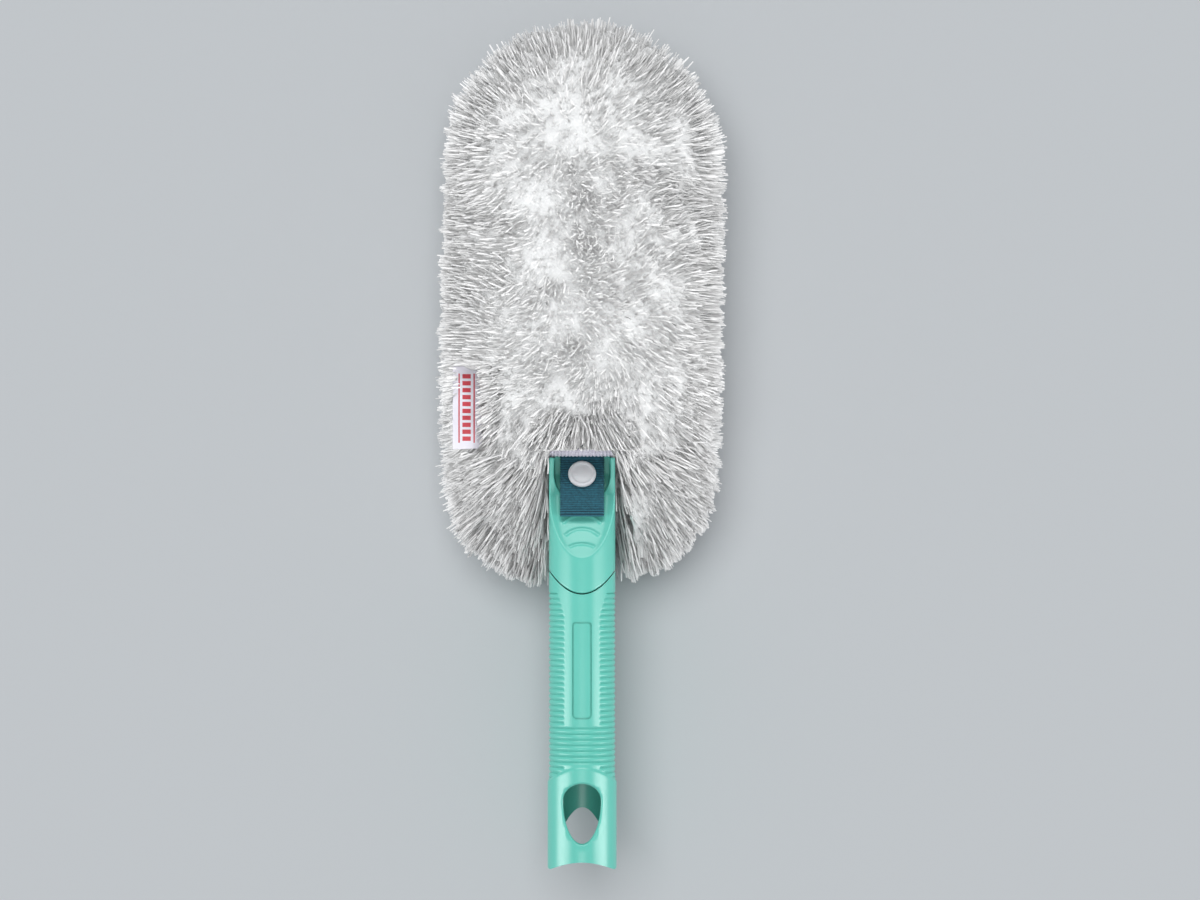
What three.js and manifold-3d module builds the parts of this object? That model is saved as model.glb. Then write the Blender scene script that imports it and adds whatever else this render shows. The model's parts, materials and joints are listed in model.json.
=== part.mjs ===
// A hand duster: a ribbed grip with a pole socket, a plug-in neck with a scooped thumb rest, a flat
// head frame, and a washable pile cover that a press-stud strap holds on the neck.
// Millimetres. +X is to the right, +Y runs from the grip to the head, +Z is up, out of the front.
// Pieces are drawn from the tip of the grip on the axis of its tube, then moved to the part's frame,
// where the duster lies on its back pile, centred over the origin.

import * as THREE from 'three';
import { mergeVertices } from 'three/addons/utils/BufferGeometryUtils.js';
import Module from 'manifold-3d';

const wasm = await Module();
wasm.setup();

// Overall
const overallLength = 391;
const headHalfWidth = 65.8;
const headBottom = 130;
const clearance = 0.3;

// Grip
const gripRadius = 15.2;
const gripLength = 126.5;
const seamRise = 10.4;
const collarRadius = 15.8;
const collarLength = 41;
const collarArch = 6.8;
const frontScallop = 4.5;
const rearScallop = 26.7;
const socketRadius = 12.7;
const socketDepth = 58;
const stopRadius = 8;
const stopHeight = 0.8;
const bulkheadThickness = 3;
const boreWall = 2.8;
const windowWidth = 18;
const windowTop = 40.5;
const windowBottom = 12.4;
const windowWidest = 32.2;
const ribPitch = 2.56;
const ribDepth = 0.65;
const ribCount = 33;
const bandHalfWidth = 8.4;
const bandFlare = 0.3;
const crossRibBottom = 48.2;
const crossRibTop = 66.4;
const panelWidth = 8.9;
const panelLength = 44.3;
const panelBase = 69.6;
const panelCorner = 2;
const grooveWidth = 0.8;
const grooveDepth = 0.5;

// Neck
const neckLength = 62.3;
const plugLength = 40;
const plugWall = 2.2;
const lipOffset = 16.3;
const rampAngle = THREE.MathUtils.degToRad(27);
const cheekThickness = 2.2;
const rimHeight = 0.6;
const dishDepth = 2.6;
const dishLength = 20;
const pocketLength = 21.3;
const pocketEnd = 13.5;
const ridgeWidth = 0.9;
const ridgeHeight = 0.6;
const ferruleLength = 34;
const ferruleThickness = 6.2;
const ferruleHalfWidth = 13;
const ferruleWall = 1.4;

// Head frame
const stemHalfWidth = 9;
const bladeHalfWidth = 33;
const bladeTop = 354;
const bladeThickness = 4.4;
const bladeRim = 7;
const bladeSpine = 9;
const bladeCells = 4;
const bladeBar = 6;

// Cover
const coverHalfWidth = 41;
const coverTop = 364;
const coverBottom = 152;
const clothThickness = 1;
const tapeThickness = 1.6;
const bindingHeight = 4.6;
const bindingThickness = 3;
const bindingHalfWidth = 38;
const labelWidth = 16;
const labelLength = 38;
const labelFromMouth = 3.2;
const labelThickness = 0.6;
const labelRise = 5;
const frontPile = 24;
const backPile = 24;
const flapPile = 21;
const frontFall = 0.5;
const backFall = 0.4;
const lockReach = 4.5;
const lockHeight = 4;
const pileOverlap = 16.8;
const pileLean = 14;

// Strap and press stud
const strapWidth = 20;
const strapThickness = 1.4;
const strapLength = 29.6;
const strapAngle = THREE.MathUtils.degToRad(24);
const snapFromMouth = 8.9;
const capRadius = 6.4;
const capThickness = 1.9;
const postRadius = 1.3;
const socketRingRadius = 5.2;
const socketRingThickness = 1.8;
const studFlangeRadius = 4.4;
const studFlangeThickness = 0.7;
const studRadius = 2;
const studHoleDepth = 2.4;

// Derived levels along the handle and out of the front
const mouth = gripLength + neckLength;
const lip = gripLength + lipOffset;
const plugBore = gripRadius - boreWall;
const plugRadius = plugBore - clearance;
const innerHalf = gripRadius - cheekThickness;
const rampSlope = Math.tan(rampAngle);
const strapSlope = Math.tan(strapAngle);
const strapRoot = mouth - clearance;
const strapEnd = strapRoot - strapLength * Math.cos(strapAngle);
const rampZ = (y) => gripRadius - (y - lip) * rampSlope;
const strapZ = (y) => rampZ(strapEnd) + clearance - (y - strapEnd) * strapSlope;
const stackDepth = clearance * 3 + socketRingThickness + studFlangeThickness;
const seatZ = strapZ(strapRoot) - clearance;
const ferruleBottom = seatZ - ferruleThickness;
const ferruleEnd = mouth + ferruleLength;
const bladeZ = (seatZ + ferruleBottom) / 2;
const stemThickness = ferruleThickness - 2 * ferruleWall - 2 * clearance;
const frontCloth = seatZ + clearance;
const frontClothTop = frontCloth + clothThickness;
const pileSeat = frontClothTop + clearance;
const backCloth = ferruleBottom - clearance;
const taperStart = mouth - 24;
const pileBackSeat = backCloth - clothThickness - clearance;
const floorZ = pileBackSeat - backPile;
const snapY = mouth - snapFromMouth;
const rimZ = backCloth + 2 * clearance;
const labelBase = mouth + labelFromMouth;
const splitHigh = mouth - pileOverlap;
const splitLow = splitHigh + pileLean;
const beyond = 40;

// Faceting
const roundSides = 32;
const smallSides = 20;

// A closed geometry as a solid, whichever way its faces were wound.
function solidOf(geometry) {
  const bare = geometry.clone();
  bare.deleteAttribute('normal');
  bare.deleteAttribute('uv');
  const merged = mergeVertices(bare, 1e-4);
  const position = merged.attributes.position;
  const corner = (i) => new THREE.Vector3().fromBufferAttribute(position, i);
  const triangles = [];
  let volume = 0;
  for (let i = 0; i < merged.index.count; i += 3) {
    const [a, b, c] = [0, 1, 2].map((k) => merged.index.getX(i + k));
    if (a !== b && b !== c && c !== a) {
      triangles.push(a, b, c);
      volume += corner(a).dot(corner(b).cross(corner(c)));
    }
  }
  const triVerts = new Uint32Array(volume < 0 ? triangles.reverse() : triangles);
  const vertProperties = new Float32Array(position.array);
  return new wasm.Manifold(new wasm.Mesh({ numProp: 3, vertProperties, triVerts }));
}

// A solid's surface as a geometry.
function geometryOf(solid) {
  const mesh = solid.getMesh();
  const geometry = new THREE.BufferGeometry();
  geometry.setAttribute('position', new THREE.BufferAttribute(mesh.vertProperties.slice(), 3));
  geometry.setIndex(new THREE.BufferAttribute(mesh.triVerts.slice(), 1));
  return geometry;
}

const cut = (base, ...tools) => tools.reduce((left, tool) => left.subtract(tool), base);
const join = (...pieces) => pieces.reduce((sum, piece) => sum.add(piece));

// The largest body of a solid, without the scraps that trimming has cut loose.
const largest = (solid) => solid.decompose().reduce((a, b) => (a.volume() > b.volume() ? a : b));

// A shape seen from the front, between two heights.
function plan(shape, low, high, curveSegments = 10) {
  const settings = { depth: high - low, bevelEnabled: false, curveSegments };
  return solidOf(new THREE.ExtrudeGeometry(shape, settings).translate(0, 0, low));
}

// A shape drawn on the side view, along the handle and out of the front, between two sides.
function side(points, left, right) {
  const shape = new THREE.Shape(points.map(([y, z]) => new THREE.Vector2(y, z)));
  const geometry = new THREE.ExtrudeGeometry(shape, { depth: right - left, bevelEnabled: false });
  const turn = new THREE.Matrix4().makeBasis(
    new THREE.Vector3(0, 1, 0),
    new THREE.Vector3(0, 0, 1),
    new THREE.Vector3(1, 0, 0),
  );
  return solidOf(geometry.applyMatrix4(turn).translate(left, 0, 0));
}

// A body turned about the handle's axis from pairs of radius and distance along the handle.
function turned(profile, sides = roundSides) {
  const points = profile.map(([radius, y]) => new THREE.Vector2(radius, y));
  return new THREE.LatheGeometry(points, sides);
}

// A rounded outline, symmetrical left to right, from one end of the handle's line to the other.
function outline(halfWidth, low, high, lowCorner, highCorner) {
  const shape = new THREE.Shape();
  shape.moveTo(0, low);
  shape.lineTo(halfWidth - lowCorner, low);
  shape.absarc(halfWidth - lowCorner, low + lowCorner, lowCorner, -Math.PI / 2, 0);
  shape.absarc(halfWidth - highCorner, high - highCorner, highCorner, 0, Math.PI / 2);
  shape.absarc(highCorner - halfWidth, high - highCorner, highCorner, Math.PI / 2, Math.PI);
  shape.absarc(lowCorner - halfWidth, low + lowCorner, lowCorner, Math.PI, Math.PI * 1.5);
  return shape;
}

// The region on one side of a parabola across the tube, as seen from the front.
function underParabola(middle, rise, far, low, high) {
  const reach = collarRadius * 1.3;
  const steps = 16;
  const points = [];
  for (let i = 0; i <= steps; i += 1) {
    const x = reach * (2 * i / steps - 1);
    points.push(new THREE.Vector2(x, middle + rise * (x / gripRadius) ** 2));
  }
  points.push(new THREE.Vector2(reach, far), new THREE.Vector2(-reach, far));
  return plan(new THREE.Shape(points), low, high);
}

// The grip's tube, with ribs that leave a smooth band down the front.
function ribbedTube() {
  const ribBase = collarLength + 1;
  const upperStart = socketDepth + bulkheadThickness;
  const profile = [
    [0, socketDepth - stopHeight],
    [stopRadius, socketDepth - stopHeight],
    [stopRadius, socketDepth],
    [socketRadius, socketDepth],
    [socketRadius, 0],
    [collarRadius, 0],
    [collarRadius, collarLength - 1],
    [gripRadius, collarLength],
  ];
  for (let i = 0; i < ribCount; i += 1) {
    profile.push([gripRadius, ribBase + i * ribPitch]);
    profile.push([gripRadius - ribDepth, ribBase + (i + 0.5) * ribPitch]);
  }
  profile.push([gripRadius, ribBase + ribCount * ribPitch]);
  profile.push([gripRadius, gripLength + seamRise + 2]);
  profile.push([plugBore, gripLength + seamRise + 2]);
  profile.push([plugBore, upperStart]);
  profile.push([0, upperStart]);
  const geometry = turned(profile);
  const position = geometry.attributes.position;
  for (let i = 0; i < position.count; i += 1) {
    const x = position.getX(i);
    const y = position.getY(i);
    const z = position.getZ(i);
    const radius = Math.hypot(x, z);
    const arch = z > 0 ? collarArch * (1 - (x / radius) ** 2) : 0;
    const isOutside = radius > gripRadius - 2 * ribDepth;
    const isValley = Math.abs(radius - gripRadius + ribDepth) < 1e-3;
    if (isValley && !isRibbed(x, y, z)) {
      position.setX(i, x * gripRadius / radius);
      position.setZ(i, z * gripRadius / radius);
    }
    if (isOutside && y > collarLength - 2 && y <= collarLength) {
      position.setY(i, y + arch);
    } else if (isOutside && y > collarLength && y < collarLength + arch) {
      position.setY(i, collarLength + arch);
    }
  }
  return solidOf(geometry);
}

// Whether the ribs' grooves reach a point on the grip.
function isRibbed(x, y, z) {
  const collarEdge = collarLength + collarArch * (1 - (x / gripRadius) ** 2);
  const band = bandHalfWidth + bandFlare * Math.max(0, y - gripLength + 10);
  const crossing = y > crossRibBottom && y < crossRibTop;
  return y > collarEdge && (crossing || z < 0 || Math.abs(x) > band);
}

function makeGrip() {
  const seam = gripLength - clearance;
  const egg = new THREE.Shape();
  egg.absellipse(0, windowWidest, windowWidth / 2, windowTop - windowWidest, 0, Math.PI);
  egg.absellipse(0, windowWidest, windowWidth / 2, windowWidest - windowBottom, Math.PI, 2 * Math.PI);
  const frame = outline(panelWidth / 2, panelBase, panelBase + panelLength, panelCorner, panelCorner);
  const inside = panelCorner - grooveWidth;
  const bare = outline(
    panelWidth / 2 - grooveWidth,
    panelBase + grooveWidth,
    panelBase + panelLength - grooveWidth,
    inside,
    inside,
  );
  const grooveFloor = gripRadius - grooveDepth;
  const core = turned([[0, 0], [grooveFloor, 0], [grooveFloor, mouth], [0, mouth]]);
  const groove = cut(plan(frame, 5, 20, 5), plan(bare, 4, 21, 5), solidOf(core));
  return cut(
    ribbedTube(),
    underParabola(seam, seamRise, gripLength + 40, -20, 20),
    underParabola(frontScallop, -frontScallop, -30, 0, 20),
    underParabola(rearScallop, -rearScallop, -30, -20, 0),
    plan(egg, 2, 20, 14),
    groove,
  );
}

// A frame whose third axis leaves the strap at right angles, at the press stud.
function snapFrame() {
  const matrix = new THREE.Matrix4().makeRotationX(Math.PI / 2 - strapAngle);
  return matrix.setPosition(0, snapY, strapZ(snapY));
}

// A body turned about the press stud's axis from pairs of radius and height above the strap.
const snapTurned = (profile) => turned(profile, smallSides).applyMatrix4(snapFrame());

// Thumb ridges on the ramp, as distances past the lip, half widths and rises.
function thumbRidges() {
  const ramp = new THREE.Matrix4().makeBasis(
    new THREE.Vector3(1, 0, 0),
    new THREE.Vector3(0, Math.cos(rampAngle), -Math.sin(rampAngle)),
    new THREE.Vector3(0, Math.sin(rampAngle), Math.cos(rampAngle)),
  );
  ramp.setPosition(0, lip, gripRadius);
  const ridges = [[5.5, 5.5, 1], [13.2, 7, 2.4], [18.8, 8.6, 2.8]];
  return ridges.map(([along, half, rise]) => {
    const radius = (half * half + rise * rise) / (2 * rise);
    const reach = Math.asin(half / radius);
    const shape = new THREE.Shape();
    shape.absarc(0, along - radius, radius, Math.PI / 2 - reach, Math.PI / 2 + reach, false);
    shape.absarc(0, along - radius, radius - ridgeWidth, Math.PI / 2 + reach, Math.PI / 2 - reach, true);
    const settings = { depth: 3 * dishDepth, bevelEnabled: false, curveSegments: 8 };
    const ridge = new THREE.ExtrudeGeometry(shape, settings).translate(0, 0, -2 * dishDepth);
    return cut(solidOf(ridge.applyMatrix4(ramp)), scoopSpace(ridgeHeight / Math.cos(rampAngle)));
  });
}

// The space over the thumb rest: above a ramp that runs out into two rims, dished between them.
function scoopSpace(lift) {
  const low = lip - 10;
  const length = mouth + 1 - low;
  const over = gripRadius + 5;
  const geometry = new THREE.BoxGeometry(4 * innerHalf, length, 1, 20, 16, 1);
  geometry.translate(0, low + length / 2, 0);
  const position = geometry.attributes.position;
  for (let i = 0; i < position.count; i += 1) {
    const y = position.getY(i);
    const ramp = Math.max(rampZ(y), rimHeight);
    const rimHalf = Math.sqrt(Math.max(gripRadius ** 2 - ramp ** 2, 1));
    const hollow = Math.max(1 - (position.getX(i) / rimHalf) ** 2, 0);
    const dish = dishDepth * THREE.MathUtils.smoothstep(y, lip, lip + dishLength) * hollow;
    position.setZ(i, position.getZ(i) < 0 ? Math.min(ramp - dish + lift, over - 1) : over);
  }
  return solidOf(geometry);
}

function makeNeck() {
  const top = mouth - clearance;
  const shoulder = gripLength + clearance;
  const tube = cut(
    solidOf(turned([[0, gripLength - 5], [gripRadius, gripLength - 5], [gripRadius, top], [0, top]])),
    underParabola(shoulder, seamRise, gripLength - 40, -20, 20),
  );
  const plugEnd = gripLength - plugLength;
  const plug = solidOf(turned([
    [0, plugEnd],
    [plugRadius - 1, plugEnd],
    [plugRadius, plugEnd + 1.5],
    [plugRadius, lip],
    [0, lip],
  ]));
  const hollow = solidOf(turned([
    [0, plugEnd - 1],
    [plugRadius - plugWall, plugEnd - 1],
    [plugRadius - plugWall, gripLength + 6],
    [plugRadius - plugWall - 3, gripLength + 12],
    [0, gripLength + 12],
  ]));
  const ferrule = plan(outline(ferruleHalfWidth, mouth - 12, ferruleEnd, 1, 3), ferruleBottom, seatZ, 4);
  const body = cut(join(tube, plug, ferrule), hollow);

  const drop = stackDepth / Math.cos(strapAngle);
  const flatStart = strapEnd + (strapZ(strapEnd) - drop - seatZ) / strapSlope;
  const wellSection = [
    [strapEnd, strapZ(strapEnd) - drop],
    [flatStart, seatZ],
    [mouth + 1, seatZ],
    [mouth + 1, gripRadius],
    [strapEnd, gripRadius],
  ];
  const well = side(wellSection, -gripRadius, gripRadius);
  const pocketLow = mouth - pocketLength;
  const pocketShape = new THREE.Shape();
  pocketShape.moveTo(innerHalf, mouth + 1);
  pocketShape.lineTo(-innerHalf, mouth + 1);
  pocketShape.absellipse(0, pocketLow + pocketEnd, innerHalf, pocketEnd, Math.PI, 2 * Math.PI);
  const pocket = plan(pocketShape, -20, 20, 12).intersect(well);
  const counterbore = solidOf(snapTurned([
    [0, -stackDepth],
    [socketRingRadius + 1, -stackDepth],
    [socketRingRadius + 1, 3],
    [0, 3],
  ]));
  const studHole = solidOf(snapTurned([
    [0, -stackDepth - studHoleDepth],
    [postRadius + clearance, -stackDepth - studHoleDepth],
    [postRadius + clearance, 0],
    [0, 0],
  ]));
  const slotLow = ferruleBottom + ferruleWall;
  const slotHalf = stemHalfWidth + clearance;
  const slot = plan(outline(slotHalf, mouth + 1, ferruleEnd + 5, 1, 1), slotLow, seatZ - ferruleWall, 3);
  const backSection = [
    [taperStart, -gripRadius],
    [mouth, ferruleBottom],
    [mouth, -25],
    [taperStart - 20, -25],
    [taperStart - 20, -gripRadius],
  ];
  const back = side(backSection, -20, 20);
  return join(cut(body, scoopSpace(0), pocket, counterbore, studHole, slot, back), ...thumbRidges());
}

function makeFrame() {
  const stemEnd = mouth + 1 + clearance;
  const shoulder = ferruleEnd + clearance;
  const shape = new THREE.Shape();
  shape.moveTo(-stemHalfWidth - 2, shoulder);
  shape.lineTo(stemHalfWidth + 2, shoulder);
  shape.bezierCurveTo(20, shoulder + 3, bladeHalfWidth, shoulder + 8, bladeHalfWidth, shoulder + 26);
  shape.absarc(0, bladeTop - bladeHalfWidth, bladeHalfWidth, 0, Math.PI);
  shape.bezierCurveTo(
    -bladeHalfWidth,
    shoulder + 8,
    -20,
    shoulder + 3,
    -stemHalfWidth - 2,
    shoulder,
  );
  const cellLow = shoulder + 24;
  const cellSpan = (bladeTop - bladeHalfWidth - cellLow + 8) / bladeCells;
  const cellWidth = bladeHalfWidth - bladeRim - bladeSpine / 2;
  for (let row = 0; row < bladeCells; row += 1) {
    for (const hand of [-1, 1]) {
      const low = cellLow + row * cellSpan;
      const centre = hand * (bladeSpine / 2 + cellWidth / 2);
      const hole = outline(cellWidth / 2, low, low + cellSpan - bladeBar, 4, 4);
      const path = new THREE.Path(hole.getPoints(3).map((p) => new THREE.Vector2(p.x + centre, p.y)));
      shape.holes.push(path);
    }
  }
  const blade = plan(shape, bladeZ - bladeThickness / 2, bladeZ + bladeThickness / 2, 9);
  const stemShape = outline(stemHalfWidth, stemEnd, shoulder + 4, 1, 1);
  const stem = plan(stemShape, bladeZ - stemThickness / 2, bladeZ + stemThickness / 2, 3);
  return join(blade, stem);
}

// The side view of the cloth behind the head: flat on the frame, then bent back behind the neck.
function backLine(offset) {
  return [
    [headBottom - 20, -gripRadius - clearance + offset],
    [taperStart, -gripRadius - clearance + offset],
    [mouth, backCloth + offset],
    [overallLength + 20, backCloth + offset],
  ];
}

function makeBackCloth() {
  const sheet = [...backLine(0), ...backLine(-clothThickness).reverse()];
  const shape = outline(coverHalfWidth, coverBottom, coverTop, 28, coverHalfWidth);
  return plan(shape, -40, 20, 8).intersect(side(sheet, -80, 80));
}

function makeFrontCloth() {
  const low = mouth + bindingHeight + clearance;
  return plan(outline(coverHalfWidth, low, coverTop, 1, coverHalfWidth), frontCloth, frontClothTop, 8);
}

function makeTape() {
  const inner = coverHalfWidth + clearance;
  const outer = inner + tapeThickness;
  const low = mouth + bindingHeight + clearance;
  const top = coverTop + clearance;
  const shape = outline(outer, low, top + tapeThickness, 0.5, outer);
  const ring = plan(shape, backCloth - clothThickness, frontClothTop, 8);
  return cut(ring, plan(outline(inner, low - 9, top, 0.5, inner), -40, 20, 8));
}

function makeBinding() {
  const low = mouth;
  const high = mouth + bindingHeight;
  const base = frontCloth;
  const crown = frontCloth + bindingThickness;
  const section = [
    [low, base],
    [high, base],
    [high, crown - 1],
    [high - 1, crown],
    [low + 1.4, crown],
    [low + 0.4, crown - 0.6],
    [low, crown - 1.6],
  ];
  return side(section, -bindingHalfWidth, bindingHalfWidth);
}

// Points at equal steps along a pad's outline, from the middle of its low end, at an inset.
function padOutline({ x = 0, low, high, middle, halfWidth, lowPower, highPower }, inset, count, shift) {
  const curve = [];
  for (let i = 0; i <= 720; i += 1) {
    const angle = i / 720 * 2 * Math.PI - Math.PI / 2;
    const upper = Math.sin(angle) >= 0;
    const power = 2 / (upper ? highPower : lowPower);
    const reach = (upper ? high - middle : middle - low) - inset;
    curve.push(new THREE.Vector3(
      x + (halfWidth - inset) * Math.sign(Math.cos(angle)) * Math.abs(Math.cos(angle)) ** power,
      middle + reach * Math.sign(Math.sin(angle)) * Math.abs(Math.sin(angle)) ** power,
      0,
    ));
  }
  const path = new THREE.CurvePath();
  curve.slice(1).forEach((point, i) => path.add(new THREE.LineCurve3(curve[i], point)));
  return Array.from({ length: count }, (_, j) => path.getPointAt((j + shift) / count));
}

// A pad of pointed locks. Rings of them go round a spine on a crown that falls towards the outline,
// and one more row goes round the pad's wall.
function pileBody(form) {
  const { x = 0, middle, halfWidth, high, low, height, fall, rings, sectors } = form;
  const spineLow = Math.min(low + halfWidth, middle);
  const spineHigh = Math.max(high - halfWidth, middle);
  const spine = (point) => new THREE.Vector3(x, THREE.MathUtils.clamp(point.y, spineLow, spineHigh), 0);
  const crown = (share) => 1 - fall * share ** 1.7;
  const foot = padOutline(form, lockReach, sectors, 0.5);
  const edge = padOutline(form, 0, sectors, 0);
  const points = [];
  const add = (from, to, share, z) => points.push(from.clone().lerp(to, share).setZ(z)) - 1;
  const valleys = [];
  for (let ring = 0; ring <= rings; ring += 1) {
    const share = ring / rings;
    const z = crown(share) * (height - lockHeight);
    valleys.push(foot.map((point) => add(spine(point), point, share, z)));
  }
  valleys.push(foot.map((point) => add(point, point, 1, 0)));
  const base = foot.map((point) => add(spine(point), point, 0, 0));
  const faces = [];
  for (let ring = 0; ring <= rings; ring += 1) {
    const share = Math.min((ring + 0.85) / (rings - 0.15), 1);
    const level = ring < rings ? crown(share) : crown(1) / 2;
    for (let j = 0; j < sectors; j += 1) {
      const before = (j + sectors - 1) % sectors;
      const droop = level * height * (0.93 + 0.07 * Math.cos(5 * j + 3 * ring));
      const tip = add(spine(edge[j]), edge[j], share, droop);
      const loop = [
        valleys[ring][before],
        valleys[ring][j],
        valleys[ring + 1][j],
        valleys[ring + 1][before],
      ];
      loop.forEach((corner, k) => faces.push(corner, loop[(k + 1) % 4], tip));
    }
  }
  const rim = valleys[rings + 1];
  for (let j = 0; j < sectors; j += 1) {
    const before = (j + sectors - 1) % sectors;
    faces.push(rim[before], rim[j], base[j]);
    faces.push(rim[before], base[j], base[before]);
  }
  const geometry = new THREE.BufferGeometry().setFromPoints(points);
  geometry.setIndex(faces);
  return geometry;
}

// The block of space that the cover's cloth takes up under the front pile.
function coverSpace() {
  const half = coverHalfWidth + tapeThickness + 3 * clearance;
  const top = coverTop + tapeThickness + 3 * clearance;
  return plan(outline(half, mouth + bindingHeight, top, 1, half), -40, pileSeat, 8);
}

function makeFrontPile() {
  const low = splitHigh;
  const body = pileBody({
    low,
    high: overallLength,
    middle: (low + overallLength) / 2,
    halfWidth: headHalfWidth,
    lowPower: 4,
    highPower: 2.6,
    height: pileSeat + frontPile - rimZ,
    fall: frontFall,
    rings: 4,
    sectors: 44,
  });
  const face = mouth + bindingHeight + 2 * clearance;
  const crown = frontCloth + bindingThickness + clearance;
  const strapHalf = gripRadius + 1.6;
  const strapSection = [
    [low - 5, -beyond],
    [face, -beyond],
    [face, crown],
    [face + (beyond - crown) * Math.tan(Math.PI / 6), beyond],
    [low - 5, beyond],
  ];
  const bindingHalf = bindingHalfWidth + clearance;
  const bindingSection = [
    [mouth - clearance, -beyond],
    [face, -beyond],
    [face, crown],
    [mouth - clearance, crown],
  ];
  const flapSection = [
    [low - 5, -beyond],
    [splitLow, -beyond],
    [splitHigh, beyond],
    [low - 5, beyond],
  ];
  return cut(
    solidOf(body.translate(0, 0, rimZ)),
    coverSpace(),
    side(strapSection, -strapHalf, strapHalf),
    side(bindingSection, -bindingHalf, bindingHalf),
    side(flapSection, -2 * beyond, 2 * beyond),
    labelBody(2 * clearance, beyond),
  );
}

// The whole head as seen from the front.
const headPad = {
  low: headBottom,
  high: overallLength,
  middle: (headBottom + overallLength) / 2,
  halfWidth: headHalfWidth,
  lowPower: 3.7,
  highPower: 2.6,
};

function makeBackPile() {
  const body = pileBody({ ...headPad, height: backPile + 2, fall: backFall, rings: 4, sectors: 48 });
  const flip = new THREE.Matrix4().makeScale(1, 1, -1);
  const far = overallLength + 20;
  const near = headBottom - 20;
  const above = [...backLine(-clothThickness - clearance), [far, beyond], [near, beyond]];
  const below = [[near, floorZ], [far, floorZ], [far, -2 * beyond], [near, -2 * beyond]];
  const whole = solidOf(body.applyMatrix4(flip).translate(0, 0, pileBackSeat));
  return cut(whole, side(above, -2 * beyond, 2 * beyond), side(below, -2 * beyond, 2 * beyond));
}

function makeFlapPile(hand) {
  const halfWidth = (headHalfWidth - gripRadius - 4 * clearance) / 2;
  const high = splitLow + lockReach + 2 * lockHeight;
  const body = pileBody({
    x: hand * (headHalfWidth - halfWidth),
    low: headBottom,
    high,
    middle: (headBottom + high) / 2,
    halfWidth,
    lowPower: 3,
    highPower: 5,
    height: flapPile,
    fall: frontFall,
    rings: 2,
    sectors: 18,
  });
  const base = -gripRadius - clearance;
  const under = [...backLine(clearance), [overallLength + 20, -60], [headBottom - 20, -60]];
  const frontSection = [
    [splitLow - clearance, -beyond],
    [high + 20, -beyond],
    [high + 20, beyond],
    [splitHigh - clearance, beyond],
  ];
  const head = plan(new THREE.Shape(padOutline(headPad, 0, 60, 0)), -60, 60);
  const whole = solidOf(body.translate(0, 0, base));
  return cut(
    whole.intersect(head),
    side(under, -2 * beyond, 2 * beyond),
    side(frontSection, -2 * beyond, 2 * beyond),
  );
}

// The side label, or the space it needs, as a slanted leaf that leaves the cover's edge.
function labelBody(gap, above) {
  const inner = -coverHalfWidth - tapeThickness - 2 * clearance;
  const outer = inner - labelWidth;
  const base = bladeZ + 2;
  const top = above || labelThickness;
  const shape = new THREE.Shape([
    new THREE.Vector2(outer - gap * 20, base + labelRise - gap),
    new THREE.Vector2(inner + gap / 2, base - gap),
    new THREE.Vector2(inner + gap / 2, base + top),
    new THREE.Vector2(outer - gap * 20, base + labelRise + top),
  ]);
  const length = labelLength + 2 * gap;
  const leaf = new THREE.ExtrudeGeometry(shape, { depth: length, bevelEnabled: false });
  return solidOf(leaf.rotateX(Math.PI / 2).translate(0, labelBase - gap + length, 0));
}

function makeStrap() {
  const crown = strapThickness / Math.cos(strapAngle);
  const lean = [strapThickness * Math.sin(strapAngle), strapThickness * Math.cos(strapAngle)];
  const section = [
    [strapRoot, strapZ(strapRoot)],
    [strapRoot, strapZ(strapRoot) + crown],
    [strapEnd + lean[0], strapZ(strapEnd) + lean[1]],
    [strapEnd, strapZ(strapEnd)],
  ];
  const hole = snapTurned([
    [0, -2],
    [postRadius + clearance, -2],
    [postRadius + clearance, 4],
    [0, 4],
  ]);
  return cut(side(section, -strapWidth / 2, strapWidth / 2), solidOf(hole));
}

function makeCap() {
  const base = strapThickness + clearance;
  const crown = base + capThickness;
  return solidOf(snapTurned([
    [0, -2 * clearance],
    [postRadius, -2 * clearance],
    [postRadius, base],
    [capRadius - 0.3, base],
    [capRadius, base + 0.4],
    [capRadius, crown - 0.8],
    [capRadius - 0.4, crown - 0.3],
    [capRadius - 1.1, crown],
    [capRadius - 1.9, crown - 0.3],
    [0, crown - 0.15],
  ]));
}

function makeSocketRing() {
  const high = -clearance;
  const low = high - socketRingThickness;
  return solidOf(snapTurned([
    [postRadius + clearance, high],
    [postRadius + clearance, high - 0.5],
    [studRadius + 0.7, high - 0.5],
    [studRadius + 0.7, low],
    [socketRingRadius - 0.5, low],
    [socketRingRadius, low + 0.5],
    [socketRingRadius, high - 0.4],
    [socketRingRadius - 0.4, high],
    [postRadius + clearance, high],
  ]));
}

function makeStud() {
  const base = clearance - stackDepth;
  const deck = base + studFlangeThickness;
  const crown = -2 * clearance - 0.5;
  return solidOf(snapTurned([
    [0, base - studHoleDepth + 2 * clearance],
    [postRadius, base - studHoleDepth + 2 * clearance],
    [postRadius, base],
    [studFlangeRadius, base],
    [studFlangeRadius, deck - 0.2],
    [studFlangeRadius - 0.3, deck],
    [studRadius - 0.3, deck],
    [studRadius, crown - 0.5],
    [studRadius - 0.4, crown],
    [0, crown],
  ]));
}

// Finishes
const finish = (color, roughness) => () => new THREE.MeshStandardMaterial({ color, roughness });
const plastic = finish(0x6fcabb, 0.35);
const framePlastic = finish(0xd9e6e2, 0.5);
const cloth = finish(0xe8e8ea, 0.9);
const pile = finish(0xf0f0f0, 1);
const knit = finish(0xe6e3ee, 0.9);
const satin = finish(0xf4f2f8, 0.5);
const webbing = finish(0x2a5b69, 0.85);
const nickel = finish(0xc0c4c7, 0.35);

function piece(name, solid, makeMaterial) {
  const mesh = new THREE.Mesh(geometryOf(solid), makeMaterial());
  mesh.name = name;
  return mesh;
}

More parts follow.
